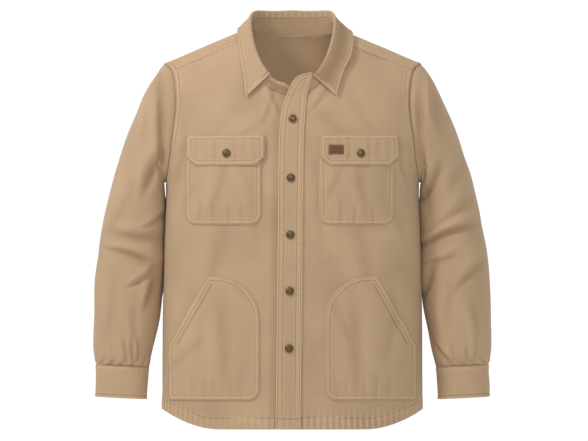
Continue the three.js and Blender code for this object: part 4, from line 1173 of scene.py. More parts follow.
def build_yoke(context):
    """Rows run round the neck and columns from the outer rim to the neckline, both straight blends
    in x and ridge angle between the two."""
    looks = looks_of(context)
    over = armhole(np.linspace(ARM_FRONT, -ARM_BACK, 60))
    face = np.where(np.linspace(ARM_FRONT, -ARM_BACK, 60) >= 0, FRONT, BACK)
    angle = rim_angle(face, over)
    seam_x = np.linspace(over[-1, 0], -over[-1, 0], 160)
    seam_a = ridge_angle(BACK, seam_x, float(YOKE_BACK))
    rim = boundary(
        [
            np.stack([over[:, 0], angle], 1),
            np.stack([seam_x, seam_a], 1),
            np.stack([-over[::-1, 0], angle[::-1]], 1),
        ],
        YOKE_SHARES,
    )
    v = lines(760, 3.2)
    u = lines(135, 3.0, SEWN, PLAIN)
    turn = NECK_CORNER * (1 - 2 * v)
    ring = neck(np.abs(turn))
    ring_face = np.where(ring[:, 1] < 0, FRONT, BACK)
    inner = np.stack([ring[:, 0] * np.sign(turn + 1e-9), rim_angle(ring_face, ring)], 1)
    grid = mix(rim(v)[:, None], inner[:, None], u[None, :, None])
    x, a = grid[..., 0], grid[..., 1]
    points = ridge_point(x, a)
    facing = normals(points)
    facing = np.where(np.sum(facing * (points - (0, 0, -200)), -1, keepdims=True) < 0, -facing, facing)
    soft = looks.fold * drift(x, points[..., 1] * 1.4, 120, 3)
    back_share = ease((a - 0.2) / 0.5)
    soft = soft * (0.35 + 0.65 * back_share)
    relief, tone = sewing(
        points,
        (
            ("left", YOKE_ROWS, 0.8, 0.34, 11, 3, 1),
            ("bottom", YOKE_ROWS, 0.8, 0.34, 11, 5, 1),
            ("top", YOKE_ROWS, 0.8, 0.34, 11, 6, 1),
        ),
    )
    points = points + (soft + relief)[..., None] * facing
    piece, facing = wall("yoke", points, CLOTH, cloth_of(context), np.array((0, 0, -260.0)), tone=tone)
    paths = [
        at_distance(points, facing, row, side) for row in YOKE_ROWS for side in ("left", "bottom", "top")
    ]
    thread = sew("stitches_yoke", paths, looks, thread_of(context))
    return finish(piece, "yoke")


# ---------------------------------------------------------------- sleeves and cuffs
def body_side(y, z):
    """Half width of the body at a depth, nothing above the armpit."""
    depth = np.where(y < 0, deep(FRONT, z), deep(BACK, z))
    share = np.clip(np.abs(y) / depth, 0, 1)
    return np.where(z > ARMPIT, 0, half(z) * (1 - share**SQUARE) ** (1 / SQUARE))


def ring_point(section, turn):
    """A superellipse ring between an outer and an inner point, front first, kept clear of the
    body beside it."""
    c = power(np.cos(np.radians(turn)), 2 / SLEEVE_SQUARE)
    s = power(np.sin(np.radians(turn)), 2 / SLEEVE_SQUARE)
    out_x, out_z, in_x, in_z, deep_, mid = (section[..., k] for k in range(6))
    share = (1 + c) / 2
    x, z = mix(in_x, out_x, share), mix(in_z, out_z, share)
    y = mid - deep_ * s
    return np.stack([np.maximum(x, body_side(y, z) + SLEEVE_CLEAR), y, z], -1)


def through(keys, at):
    """Points between key rings, by the cubic that passes through them."""
    last = len(keys) - 1
    k = np.clip(np.floor(at).astype(int), 0, last - 1)
    t = (at - k)[:, None, None]
    a, b, c, d = (keys[np.clip(k + n, 0, last)] for n in (-1, 0, 1, 2))
    return b + 0.5 * t * (c - a + t * (2 * a - 5 * b + 4 * c - d + t * (3 * (b - c) + d - a)))


def facing_out(points):
    """Normals of closed rings, turned away from each ring's middle."""
    facing = normals(points, True)
    middle = points.mean(1, keepdims=True)
    return facing * np.where(np.sum(facing * (points - middle)) < 0, -1, 1)


def build_sleeve(context, side):
    """Rings from the armhole to the cuff through the table's sections. Folds are read in front
    view on the near half and from their own table on the far half; near the armhole the cloth
    drops behind the body's seam and swells again below it."""
    looks = looks_of(context)
    name = f"sleeve_{word_of(side)}"
    count = 132
    turn = np.linspace(180, -180, count, endpoint=False)
    keys = np.concatenate([armhole(turn)[None], ring_point(SLEEVE[:, None, :], turn[None, :])])
    at = lines(590, 2.7, (0, 1.0, 2.0, 3.2, 4.8, 7), (0, 1, 2, 3.2, 4.6, 6.4, 8)) * (len(keys) - 1)
    points = through(keys, at)
    facing = facing_out(points)
    near = ease((-facing[..., 1] + 0.12) / 0.45)
    far = ease((facing[..., 1] + 0.12) / 0.45)
    x, z = points[..., 0], points[..., 2]
    table = SLEEVE_LEFT_FRONT if side > 0 else SLEEVE_RIGHT_FRONT
    height = near * folds(table, x, z, side) + far * folds(SLEEVE_BEHIND, x, z)
    height = height + 0.9 * drift(x * 1.3 + 40 * facing[..., 1], z, 90, 7 + side)
    down = along(points, 0)
    fade = ease(down / 26) * (0.25 + 0.75 * ease((down[-1:] - down) / 24))
    relief = looks.fold * height * fade
    relief = relief - 1.3 * np.exp(-((down / 7) ** 2))
    gather = ripple(along(points, 1), 21, 1.5 + side) * np.exp(-(((down[-1:] - down) / 16) ** 2))
    relief = relief + 0.9 * gather
    points = points + relief[..., None] * facing
    points[..., 0] = np.maximum(points[..., 0], body_side(points[..., 1], points[..., 2]) + 0.9)
    points = points * (side, 1, 1)
    # Painted shade and highlight on the folds, a painted shadow along the armhole seam where the cloth drops
    # behind the body's, and painted shade and highlight on the puckers at the cuff end.
    tone = 1.7 * painted_crease_shade(relief, 6) - 0.9 * np.exp(-((down / 2.2) ** 2)) + 0.3 * gather
    axis = points.mean(1, keepdims=True)
    piece, facing = wall(name, points, SLEEVE_THICK, cloth_of(context), axis, ring=True, tone=tone)
    return finish(piece, name)


def build_cuff(context, side):
    """A band round the wrist that laps itself at the back, its outer end lifted on to the inner."""
    looks = looks_of(context)
    name = f"cuff_{word_of(side)}"
    share = lines(CUFF_SPREAD, 2.6)
    turn = CUFF_START + share * CUFF_TURNS
    rows = lines(62, 2.4, (0, 0.8, 1.6, 2.4, 3.4, 5.5, 7.0, 8.0, 9.0), (0, 0.7, 1.4, 2.2, 3.4, 5.0))
    at = rows * 2
    keys = ring_point(CUFF[:, None, :], turn[None, :])
    points = through(keys, at)
    facing = facing_out(points)
    lift = (BAND + 0.6) * ease(share * CUFF_LIFT_RATE - CUFF_LIFT_FROM)
    relief, tone = sewing(
        points,
        (
            ("bottom", CUFF_ROWS, 0.6, 0.3, 12, side, 1),
            ("top", (CUFF_END_ROW,), 0.5, 0.25, 12, 2 + side, 1),
            ("right", (CUFF_END_ROW,), 0.4, 0.1, 12, 4 + side, 1),
        ),
    )
    relief = relief + 0.5 * drift(points[..., 0], points[..., 2], 46, 3 + side)
    points = points + (lift[None, :] + relief)[..., None] * facing
    points = points * (side, 1, 1)
    piece, facing = wall(name, points, BAND, cloth_of(context), points.mean(1, keepdims=True), tone=tone)
    paths = [at_distance(points, facing, row, "bottom") for row in CUFF_ROWS]
    paths += [at_distance(points, facing, CUFF_END_ROW, end) for end in ("top", "right")]
    thread = sew(f"stitches_{name}", paths, looks, thread_of(context))
    finish(piece, name)
    return points, facing


def build_sleeve_placket(context, side):
    """A strip beside the opening at the back of the sleeve, laid on the sleeve's rings."""
    looks = looks_of(context)
    name = f"sleeve_placket_{word_of(side)}"
    turn = np.linspace(-81.4, -97.9, 15)
    keys = np.concatenate([armhole(turn)[None], ring_point(SLEEVE[:, None, :], turn[None, :])])
    at = np.linspace(15 / 21, 20.2 / 21, 44) * (len(keys) - 1)
    points = through(keys, at)
    facing = normals(points)
    facing = facing * np.where(facing[..., 1:2] < 0, -1, 1)
    points = (points + 3.0 * facing) * (side, 1, 1)
    facing = facing * (side, 1, 1)
    relief, tone = sewing(
        points,
        (("left", (STRIP_ROW,), 0.4, 0.15, 11, 1, 1), ("right", (STRIP_ROW,), 0.4, 0.15, 11, 2, 1)),
    )
    points = points + relief[..., None] * facing
    piece, facing = wall(name, points, STRIP_THICK, cloth_of(context), points - 50 * facing, tone=tone)
    paths = [at_distance(points, facing, STRIP_ROW, side_) for side_ in ("left", "right")]
    thread = sew(f"stitches_{name}", paths, looks, thread_of(context))
    return finish(piece, name)


# ---------------------------------------------------------------- collar
def stand_line(turn):
    """Foot and head of the stand at turns round the neck, and the way that points out of it."""
    foot = neck(turn)
    ahead = neck(turn + 1) - neck(turn - 1)
    away = np.stack([ahead[:, 1], -ahead[:, 0], 0 * turn], -1)
    away = unit(away)
    outside = away[:, 0] * foot[:, 0] + away[:, 1] * (foot[:, 1] + 8)
    away = away * np.where(outside < 0, -1, 1)[:, None]
    head = foot - read(STAND, np.abs(turn), 2)[:, None] * away
    head[:, 2] += read(STAND, np.abs(turn), 1)
    foot = foot + (0, 0, COLLAR_SEAT)
    return foot, head, away


def build_stand(context):
    """A band standing on the neckline. Its top edge falls to each end in a quarter ellipse; the
    left end rises a little under the placket, and the right one runs on beneath it."""
    looks = looks_of(context)
    right, left = LEAF_END["right"], LEAF_END["left"]
    turn = np.concatenate(
        [
            np.linspace(-NECK_END["right"], -right, 26)[:-1],
            np.linspace(-right, left, 170),
            np.linspace(left, STAND_END, 18)[1:],
        ]
    )
    foot, head, away = stand_line(turn)
    end = np.where(turn > 0, STAND_END, NECK_END["right"])
    leaf_end = np.where(turn > 0, left, right)
    past = np.clip((np.abs(turn) - leaf_end) / (end - leaf_end), 0, 1)
    last = np.where(turn > 0, foot[-1, 0], foot[0, 0])
    near_end = np.clip(1 - np.abs(foot[:, 0] - last) / STAND_ROUND, 0, 1)
    head[:, 2] += np.where(turn > 0, STAND_LAP_RISE * ease(2 * past), 0)
    head[:, 2] -= 0.8 * (head[:, 2] - foot[:, 2]) * (1 - np.sqrt(1 - near_end**2)) * (past > 0)
    under = TUCK * ease((-turn - right) / 12)
    t = lines(24, 1.6, (0, 0.8, 1.6, 2.6), (0, 0.8, 1.6, 2.6))[:, None, None]
    points = mix(foot[None], head[None], t) - under[:, None] * away[None]
    relief, tone = sewing(
        points, (("bottom", (STAND_ROW,), 0.4, 0.25, 12, 1, 1), ("top", (2.2,), 0.3, 0.2, 12, 2, 1))
    )
    points = points + relief[..., None] * away[None]
    # The end beneath the lap lies in the leaf's shade but for its top edge.
    shade = ease((-turn - right + 4) / 5)[None, :] * ease((4.5 - np.abs(edge_field(points, "top")[0])) / -2)
    tone = tone - 0.9 * shade
    piece, facing = wall(
        "collar_stand", points, BAND, cloth_of(context), points - 20 * away[None],
        tone=tone, reverse=STAND_REVERSE_TONE,
    )
    paths = [at_distance(points, facing, STAND_ROW, "bottom")]
    inner, inward = points - BAND * facing, -facing
    paths += [at_distance(inner, inward, STAND_ROW, "bottom"), at_distance(inner, inward, 2.4, "top")]
    thread = sew("stitches_collar_stand", paths, looks, thread_of(context))
    return finish(piece, "collar_stand")


def build_leaf(context):
    """The leaf rises from the stand's head, rolls over in a half circle and falls to its edge with
    a slight belly. Its sections are carried round the neck."""
    looks = looks_of(context)
    turn = np.linspace(-LEAF_END["right"], LEAF_END["left"], 230)
    _, head, away = stand_line(turn)
    start = head - BAND * away + (0, 0, COLLAR_SEAT)
    crest = start + LEAF_ROLL * away
    crest[:, 2] += read(LEAF, np.abs(turn), 1)
    edge_x = np.where(turn < 0, -read(LEAF, np.abs(turn), 2), read(LEAF, np.abs(turn), 4))
    edge_y = np.where(turn < 0, read(LEAF, np.abs(turn), 3), read(LEAF, np.abs(turn), 5))
    edge = np.stack([edge_x, edge_y, top_height(edge_x, edge_y)], -1)
    step = 0.5
    slope_x = (top_height(edge_x + step, edge_y) - top_height(edge_x - step, edge_y)) / (2 * step)
    slope_y = (top_height(edge_x, edge_y + step) - top_height(edge_x, edge_y - step)) / (2 * step)
    over = unit(np.stack([-slope_x, -slope_y, np.ones_like(turn)], -1))
    edge = edge + (LEAF_CLEAR + BAND) * over
    rise = np.linspace(0, 1, 6)[:-1]
    bend = np.radians(np.linspace(180, 8, 12))
    fall = lines(58, 2.2, (0, 1.5), (0, 0.7, 1.4, 2.2, 3.4, 4.6, 5.4, 6.2, 7.4))[1:]
    up = np.array((0, 0, 1.0))
    low = crest + LEAF_ROLL * (np.cos(bend[0]) * away + np.sin(bend[0]) * up)
    legs = mix(start[None], low[None], rise[:, None, None])
    arc = crest[None] + LEAF_ROLL * (
        np.cos(bend)[:, None, None] * away[None] + np.sin(bend)[:, None, None] * up
    )
    t = fall[:, None, None]
    drop = mix(arc[-1][None], edge[None], t) + LEAF_BELLY * np.sin(t * np.pi) * away[None]
    points = np.concatenate([legs, arc, drop]).transpose(1, 0, 2)
    facing = normals(points)
    facing = facing * np.where(np.sum(facing[:, -8:] * away[:, None]) < 0, -1, 1)
    relief, tone = sewing(
        points,
        (
            ("right", (LEAF_ROW,), 0.4, 0.28, 12, 2, 1),
            ("bottom", (LEAF_ROW,), 0.4, 0.12, 12, 3, 1),
            ("top", (LEAF_ROW,), 0.4, 0.12, 12, 4, 1),
        ),
    )
    # Puckers where the leaf is sewn to the stand, fading over the roll.
    leg_in, run = edge_field(points, "left")
    gather = ripple(run, 13, 2.0) * np.exp(-(((leg_in - 6) / 9) ** 2))
    wave = 0.9 * np.sin(np.radians(turn) * 3.1 + 0.6) * np.ones((points.shape[1], 1))
    fallen = ease((np.arange(points.shape[1]) - 16) / 16)
    relief = relief + 0.45 * gather + (wave.T * fallen[None, :]) * looks.fold
    points = points + relief[..., None] * facing
    column = np.arange(points.shape[1]) / points.shape[1]
    # Painted shade over the wearer's left leaf, from its roll into its fall, and painted highlight and shade
    # on the puckers where it is sewn to the stand.
    painted_leaf_shade = ease((turn - 55) / 45)[:, None] * np.exp(-(((column - 0.52) / 0.24) ** 2))[None, :]
    tone = tone + 0.3 * gather - 0.95 * painted_leaf_shade
    piece, facing = wall("collar_leaf", points, BAND, cloth_of(context), points - 30 * facing, tone=tone)
    paths = [trim(at_distance(points, facing, LEAF_ROW, "right"), 4.6, 4.6)]
    for side in ("bottom", "top"):
        paths.append(trim(at_distance(points, facing, LEAF_ROW, side), 12, LEAF_ROW))
    thread = sew("stitches_collar_leaf", paths, looks, thread_of(context))
    return finish(piece, "collar_leaf")


# ---------------------------------------------------------------- pieces sewn on the fronts
def inset(corners, distances):
    """Closed outlines with round corners, one for each distance in: every straight edge moves in
    by the distance, and every corner's radius shrinks by it. Each corner is x, z and radius, and
    all outlines have the same points on the same edges and arcs."""
    corners = np.asarray(corners, float)
    place, radius = corners[:, :2], corners[:, 2]
    before, after = unit(np.roll(place, 1, 0) - place), unit(np.roll(place, -1, 0) - place)
    half_angle = np.arccos(np.clip(np.sum(before * after, 1), -1, 1)) / 2
    inward = unit(before + after)
    moved = np.asarray(distances, float)[:, None]
    radii = np.maximum(radius - moved, 0.6)
    tip = place + inward * (moved / np.sin(half_angle))[..., None]
    centre = tip + inward * (radii / np.sin(half_angle))[..., None]
    reach = (radii / np.tan(half_angle))[..., None]
    start, end = tip + before * reach, tip + after * reach
    line = []
    for k in range(len(corners)):
        bend = np.pi - 2 * half_angle[k]
        t = np.linspace(0, 1, max(7, int(radius[k] * bend / 1.6)))[None, :, None]
        chord = mix((start - centre)[:, k, None], (end - centre)[:, k, None], t)
        line.append(centre[:, k, None] + radii[:, k, None, None] * unit(chord))
        after_k = (k + 1) % len(corners)
        length = np.linalg.norm(start[0, after_k] - end[0, k])
        t = np.linspace(0, 1, max(3, int(length / 1.8)))[None, 1:-1, None]
        line.append(mix(end[:, k, None], start[:, after_k, None], t))
    return np.concatenate(line, 1)


def oblong(sizes, top, bottom):
    """Corners of an oblong with the given radii at its top and its bottom."""
    return (
        (sizes["left"], sizes["top"], top),
        (sizes["left"], sizes["bottom"], bottom),
        (sizes["right"], sizes["bottom"], bottom),
        (sizes["right"], sizes["top"], top),
    )


def flap_corners():
    f = FLAP
    return (
        (f["left"], f["top"], 1.0),
        (f["left"], f["side"], 3),
        (f["left"] + f["cut"], f["bottom"], 3),
        (f["right"] - f["cut"], f["bottom"], 3),
        (f["right"], f["side"], 3),
        (f["right"], f["top"], 1.0),
    )


def hand_corners():
    h = HAND
    return (
        (h["peak"], h["top"], 4),
        (h["side"], h["foot"], 5),
        (h["side"], h["bottom"], 5),
        (h["inner"], h["bottom"], h["corner"]),
        (h["inner"], h["top"], h["curve"]),
    )


def closed_form(name, top, low, looks_material, uv, tone):
    """One closed form of rings that shrink to their middle: the upper skin, the lower skin and the
    rim between them, each skin closed by a fan to the mean of its last ring."""
    levels, count = top.shape[:2]
    size = levels * count
    quads = ring_quads(levels, count)
    k = np.arange(count)
    n = (k + 1) % count
    rim = np.stack([n, k, k + size, n + size], 1)
    last = size - count
    fan = np.stack([k + last, n + last, np.full(count, 2 * size)], 1)
    fan_low = np.stack([n + last + size, k + last + size, np.full(count, 2 * size + 1)], 1)
    faces = np.concatenate([quads, quads[:, ::-1] + size, rim]).tolist()
    faces += np.concatenate([fan, fan_low]).tolist()
    verts = np.concatenate([top.reshape(-1, 3), low.reshape(-1, 3), [top[-1].mean(0)], [low[-1].mean(0)]])
    a, b, c = (verts[quads[2 * count, m]] for m in range(3))
    if np.dot(np.cross(b - a, c - a), a - verts[quads[2 * count, 0] + size]) < 0:
        faces = [face[::-1] for face in faces]
    corner = np.concatenate([np.array(face) for face in faces])
    flat = np.concatenate([uv.reshape(-1, 2), uv.reshape(-1, 2), [uv[-1].mean(0)], [uv[-1].mean(0)]])
    # The lower skin takes the reverse's tone, paler as the cloth's back and as painted light.
    tones = np.concatenate([tone.ravel(), np.full(size, REVERSE_TONE), [tone[-1].mean()], [REVERSE_TONE]])
    return add_mesh(name, verts, faces, looks_material, flat[corner], tones)


def laid_piece(
    context, name, corners, thick, height, seed=1.0, moved=0.0, mirror=1, levels=LAID_LINES,
    rows=LAID_ROWS, core=22, swell=0.5, pucker=0.14, puff=1.2, creases=(), mouth=None, cloth=None,
):
    """A piece laid on the front: rings inside its outline, put on the folded front, lifted by the
    height function, raised between its rows of stitches and pressed down at its edge."""
    looks = looks_of(context)
    rings = inset(corners, levels)
    middle = (rings[-1].min(0) + rings[-1].max(0)) / 2
    shrink = np.linspace(0, 0.95, core + 1)[1:]
    reach = np.min(np.linalg.norm(rings[-1] - middle, axis=1))
    rings = np.concatenate([rings, mix(rings[-1], middle, shrink[:, None, None])])
    depth = np.concatenate([levels, levels[-1] + reach * shrink])[:, None]
    x, z = rings[..., 0] * mirror + moved, rings[..., 1]
    run = along(np.concatenate([rings[:1], rings[:1, :1]], 1), 1)
    run, whole = run[:, :-1], run[0, -1]
    period = whole / round(whole / 11.0)
    relief = seam(depth, run, rows, swell, pucker, period, seed)
    tone = seam_wear_and_painted_shade(depth, run, rows, pucker, period, seed)
    soft = folds(creases, rings[..., 0], z)
    # Painted shade in the hollows of the piece's creases and painted highlight on their tops.
    tone = tone + painted_crease_shade(soft, 2.5)
    if mouth is not None:
        # The inner row beside a slant mouth sinks in a groove, with a painted shadow along it.
        slant = mouth(rings[..., 0], z)
        relief = relief - 0.6 * np.exp(-((slant / 0.9) ** 2))
        tone = tone - 1.1 * np.exp(-((slant / 0.95) ** 2))
    lift = height(x, z) - 0.9 * (1 - ease(depth / 1.4)) + relief + soft * looks.fold
    lift = lift + puff * ease((depth - max(rows)) / 26)
    points, facing = skin(FRONT, x, z, looks.fold, lift)
    low, _ = skin(FRONT, x, z, looks.fold, lift - thick)
    piece = closed_form(name, points, low, cloth or cloth_of(context), np.stack([x, z], -1), tone)
    paths = []
    for row in rows:
        level = levels.index(row)
        paths.append([np.concatenate([values[level], values[level, :1]]) for values in (points, facing)])
    thread = sew(f"stitches_{name}", paths, looks, thread_of(context))
    return piece, thread


def sewn_on(context, name, cut, under, corners, thick, height, **how):
    """A laid piece of cloth that rests on another piece."""
    piece, thread = laid_piece(context, name, corners, thick, height, **how)
    return finish(piece, name)


def placket_face(x, z, amount, lift):
    """The placket's outer face at x and z. Below the neckline it lies on the front; above it, it
    stands on the collar stand's outer face, and a smooth minimum of the two depths joins them."""

    def at(x, z):
        body = skin(FRONT, x, np.minimum(z, PLACKET_REACH), amount)[0]
        stand_y = neck_depth(x) - 0.6 + PLACKET_LEAN * np.maximum(z - PLACKET_FOOT, -PLACKET_LOW)
        gap = body[..., 1] - stand_y
        y = (body[..., 1] + stand_y - np.sqrt(gap**2 + 4 * PLACKET_SOFT**2)) / 2
        return np.stack([x + 0 * y, y, z + 0 * y], -1)

    step = 1.0
    normal = unit(np.cross(at(x + step, z) - at(x - step, z), at(x, z + step) - at(x, z - step)))
    normal = normal * np.where(normal[..., 1:2] > 0, -1, 1)
    return at(x, z) + np.asarray(lift)[..., None] * normal, normal


def build_placket(context):
    """The band along the lap, from hem to collar, with two rows of stitches up each side. Rows run
    across from a point of its free edge to the matching point of its inner edge."""
    looks = looks_of(context)
    edge_run = along(PLACKET[:, :2], 0)
    free = np.column_stack([edge_run, PLACKET])
    length = edge_run[-1]
    at = length * lines(length, 2.6, PLAIN, PLAIN)
    share = lines(LAP_WIDTH, 2.0, PLACKET_LINES, PLACKET_LINES)[None, :]
    ends = [read(free, at, k)[:, None] for k in (1, 2, 3, 4)]
    x, z = mix(ends[0], ends[2], share), mix(ends[1], ends[3], share)
    flat, facing = placket_face(x, z, looks.fold, LAY + PLACKET_THICK + 0 * x)
    width = np.hypot(ends[2] - ends[0], ends[3] - ends[1])
    wide = ease((width - 9) / 16)
    relief, tone = sewing(
        flat,
        (
            ("left", PLACKET_ROWS[:1], 0.6, 0.16, 12, 1, 1),
            ("right", PLACKET_ROWS[:1], 0.4, 0.16, 12, 4, wide),
            ("left", PLACKET_ROWS[1:], 0.1, 0.16, 12, 1, wide),
            ("right", PLACKET_ROWS[1:], 0.1, 0.16, 12, 4, wide),
            ("bottom", (HEM_BAND,), 0.2, 0.5, 12, 3, 1),
        ),
    )
    band = 0.5 * ripple(at[:, None], 47, 2) * np.sin(np.pi * share)
    points = flat + (relief + band)[..., None] * facing
    piece, facing = wall("placket", points, PLACKET_THICK, cloth_of(context), points * (0, 0, 1), tone=tone)
    paths = [
        trim(at_distance(points, facing, row, side), 0, end)
        for row, side, end in zip(PLACKET_ROWS * 2, ("left", "left", "right", "right"), PLACKET_ENDS)
    ]
    paths.append(at_distance(points, facing, HEM_BAND, "bottom"))
    thread = sew("stitches_placket", paths, looks, thread_of(context))
    return finish(piece, "placket")


def snap(context, name, x, z, lift):
    """A cap on the front: its place and the front's directions there."""
    centre, out = skin(FRONT, np.array([x], float), np.array([z], float), looks_of(context).fold, float(lift))
    centre, out = centre[0], out[0]
    side = unit(np.cross(out, (0, 0, 1.0)))
    place_snap(context, name, centre, out, side, np.cross(side, out))


def place_snap(context, name, centre, out, side, up):
    """A cap with a rolled rim: a profile of radius and height turned round the way out of the
    cloth."""
    count = 40
    angle = np.linspace(0, 2 * np.pi, count, endpoint=False)[None, :, None]
    radius, height = SNAP_PROFILE[:, 0, None, None], SNAP_PROFILE[:, 1, None, None]
    verts = (centre + radius * (np.cos(angle) * side + np.sin(angle) * up) + height * out).reshape(-1, 3)
    levels = len(SNAP_PROFILE)
    faces = ring_quads(levels, count)
    a, b, c = (verts[faces[5 * count, k]] for k in range(3))
    flip = np.cross(b - a, c - a) @ (a - centre) < 0
    faces = (faces[:, ::-1] if flip else faces).tolist()
    base, cap = list(range(count)), list(range((levels - 1) * count, levels * count))
    faces += [base if flip else base[::-1], cap[::-1] if flip else cap]
    brass = shared("antique_brass", brass_material, looks_of(context))
    piece = add_mesh(name, verts, faces, brass, tone=np.repeat(SNAP_PROFILE[:, 2], count))
    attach(piece, "root")
    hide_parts(name)


def level_height(lift):
    """The height function of a piece that lies evenly above the front."""
    return lambda x, z: lift + 0 * x


def flap_height(x, z):
    """A flap lies on the front at its top seam and on the pocket below it."""
    down = FLAP["top"] - z
    return 2.4 + 2.9 * ease(down / 7) + 1.0 * down / (FLAP["top"] - FLAP["bottom"])


def mouth_line(x, z):
    """Distance from the inner row of stitches beside a slant mouth, far away past its ends."""
    foot = np.array((HAND["side"], HAND["foot"]), float)
    peak = np.array((HAND["peak"], HAND["top"]), float)
    way = unit(peak - foot)
    run = (x - foot[0]) * way[0] + (z - foot[1]) * way[1]
    reach = (x - foot[0]) * way[1] - (z - foot[1]) * way[0]
    length = np.linalg.norm(peak - foot)
    past = np.maximum(0, np.maximum(12 - run, run - length + 10))
    return np.hypot(reach - MOUTH_ROW, past)


# ---------------------------------------------------------------- settings
class JacketLooks(bpy.types.PropertyGroup):
    """Cloth, thread and trim"""

    canvas: FloatVectorProperty(
        name="Canvas", description="Dye of the cloth", subtype="COLOR", size=3,
        default=(0.500, 0.345, 0.208), min=0, max=1,
    )
    thread: FloatVectorProperty(
        name="Thread", description="Colour of the topstitching", subtype="COLOR", size=3,
        default=(0.60, 0.43, 0.27), min=0, max=1,
    )
    brass: FloatVectorProperty(
        name="Brass", description="Rubbed metal of the snaps", subtype="COLOR", size=3,
        default=(0.24, 0.165, 0.085), min=0, max=1,
    )
    leather: FloatVectorProperty(
        name="Leather", description="Patch on the flap", subtype="COLOR", size=3,
        default=(0.17, 0.070, 0.028), min=0, max=1,
    )
    fold: FloatProperty(
        name="Folds", description="Depth of every fold against its stated one", subtype="FACTOR",
        default=1.0, min=0, max=2,
    )
    rib: FloatProperty(
        name="Rib", description="Distance between two twill ribs", subtype="DISTANCE", unit="LENGTH",
        default=0.0011, min=0.0005, max=0.005,
    )
    stitch_pitch: FloatProperty(
        name="Stitch", description="Length of one stitch with its gap", subtype="DISTANCE", unit="LENGTH",
        default=0.0031, min=0.002, max=0.006,
    )


class JacketStudio(bpy.types.PropertyGroup):
    """Floor, light and camera"""

    distance: FloatProperty(
        name="Camera distance", description="From the camera to the jacket's middle plane",
        subtype="DISTANCE", unit="LENGTH", default=20.0, min=2, max=30,
    )
    view_width: FloatProperty(
        name="View width", description="Width that the picture spans at the jacket",
        subtype="DISTANCE", unit="LENGTH", default=1.123, min=0.5, max=4,
    )
    key: FloatProperty(
        name="Key light", description="Power of the light above the jacket's right side",
        subtype="POWER", unit="POWER", default=34.0, min=0, max=1000,
    )
    front: FloatProperty(
        name="Front light", description="Power of the light in front", subtype="POWER",
        unit="POWER", default=27.0, min=0, max=1000,
    )
    around: FloatProperty(
        name="Surroundings", description="Brightness in front of the jacket", subtype="FACTOR",
        default=0.42, min=0, max=2,
    )
    behind: FloatProperty(
        name="Background", description="Brightness behind the jacket", subtype="FACTOR",
        default=1.05, min=0, max=2,
    )
    floor: FloatProperty(
        name="Floor", description="Height of the floor", subtype="DISTANCE", unit="LENGTH",
        default=-1.25, min=-3, max=-0.8,
    )
    paper: FloatVectorProperty(
        name="Paper", description="Colour of the floor", subtype="COLOR", size=3,
        default=(0.9, 0.9, 0.9), min=0, max=1,
    )


# ---------------------------------------------------------------- operators
class JacketPart(bpy.types.Operator):
    bl_options = {"REGISTER"}

    def execute(self, context):
        self.make(context)
        return {"FINISHED"}


class JACKET_OT_fronts(JacketPart):
    """Two fronts that lap at the middle"""

    bl_idname = "jacket.fronts"
    bl_label = "Fronts"

    def make(self, context):
        for side in (-1, 1):
            build_front(context, side)


class JACKET_OT_back(JacketPart):
    """Back panel below the yoke"""

    bl_idname = "jacket.back"
    bl_label = "Back"

    def make(self, context):
        build_back(context)


class JACKET_OT_yoke(JacketPart):
    """Yoke over both shoulders"""

    bl_idname = "jacket.yoke"
    bl_label = "Yoke"

    def make(self, context):
        build_yoke(context)


class JACKET_OT_sleeves(JacketPart):
    """Sleeves with the strips at their openings"""

    bl_idname = "jacket.sleeves"
    bl_label = "Sleeves"

    def make(self, context):
        for side in (-1, 1):
            build_sleeve(context, side)
            build_sleeve_placket(context, side)


class JACKET_OT_cuffs(JacketPart):
    """Cuffs and the snaps behind them"""

    bl_idname = "jacket.cuffs"
    bl_label = "Cuffs"

    def make(self, context):
        for side in (-1, 1):
            points, facing = build_cuff(context, side)
            row = points.shape[0] // 2
            turn = CUFF_START + lines(CUFF_SPREAD, 2.6) * CUFF_TURNS
            column = int(np.argmin(np.abs(turn - CUFF_SNAP_TURN)))
            out = facing[row, column]
            across_way = unit(np.cross(out, (0, 0, 1.0)))
            place_snap(
                context, f"snap_cuff_{word_of(side)}", points[row, column] + 0.1 * out, out,
                across_way, np.cross(across_way, out),
            )


class JACKET_OT_collar(JacketPart):
    """Collar stand and leaf"""

    bl_idname = "jacket.collar"
    bl_label = "Collar"

    def make(self, context):
        build_stand(context)
        build_leaf(context)


class JACKET_OT_placket(JacketPart):
    """Band along the lap, with its snaps"""

    bl_idname = "jacket.placket"
    bl_label = "Placket"

    def make(self, context):
        build_placket(context)
        for count, z in enumerate(SNAP_Z, 1):
            snap(context, f"snap_front_{count}", float(lap_edge(z)) + LAP_WIDTH / 2, z, FRONT_SNAP_LIFT)


class JACKET_OT_chest_pockets(JacketPart):
    """Patch pockets on the chest"""

    bl_idname = "jacket.chest_pockets"
    bl_label = "Chest pockets"

    def make(self, context):
        for word, moved, seed in (("right", 0, 1.0), ("left", CHEST_SHIFT, 2.0)):
            sewn_on(
                context, f"chest_pocket_{word}", "chest_pocket", f"front_{word}",
                oblong(CHEST, 1.5, CHEST["corner"]), POCKET_THICK, level_height(POCKET_LIFT),
                seed=seed, moved=moved, puff=1.5, creases=CHEST_CREASES[word],
            )


class JACKET_OT_flaps(JacketPart):
    """Pocket flaps with their snaps"""

    bl_idname = "jacket.flaps"
    bl_label = "Flaps"

    def make(self, context):
        for word, moved, seed in (("right", 0, 3.0), ("left", CHEST_SHIFT, 4.0)):
            sewn_on(
                context, f"flap_{word}", "flap", f"chest_pocket_{word}", flap_corners(),
                FLAP_THICK, flap_height,
                seed=seed, moved=moved, puff=0.3, core=14, creases=FLAP_CREASES,
            )
            snap(context, f"snap_flap_{word}", FLAP_SNAP[0] + moved, FLAP_SNAP[1], FLAP_SNAP_LIFT)


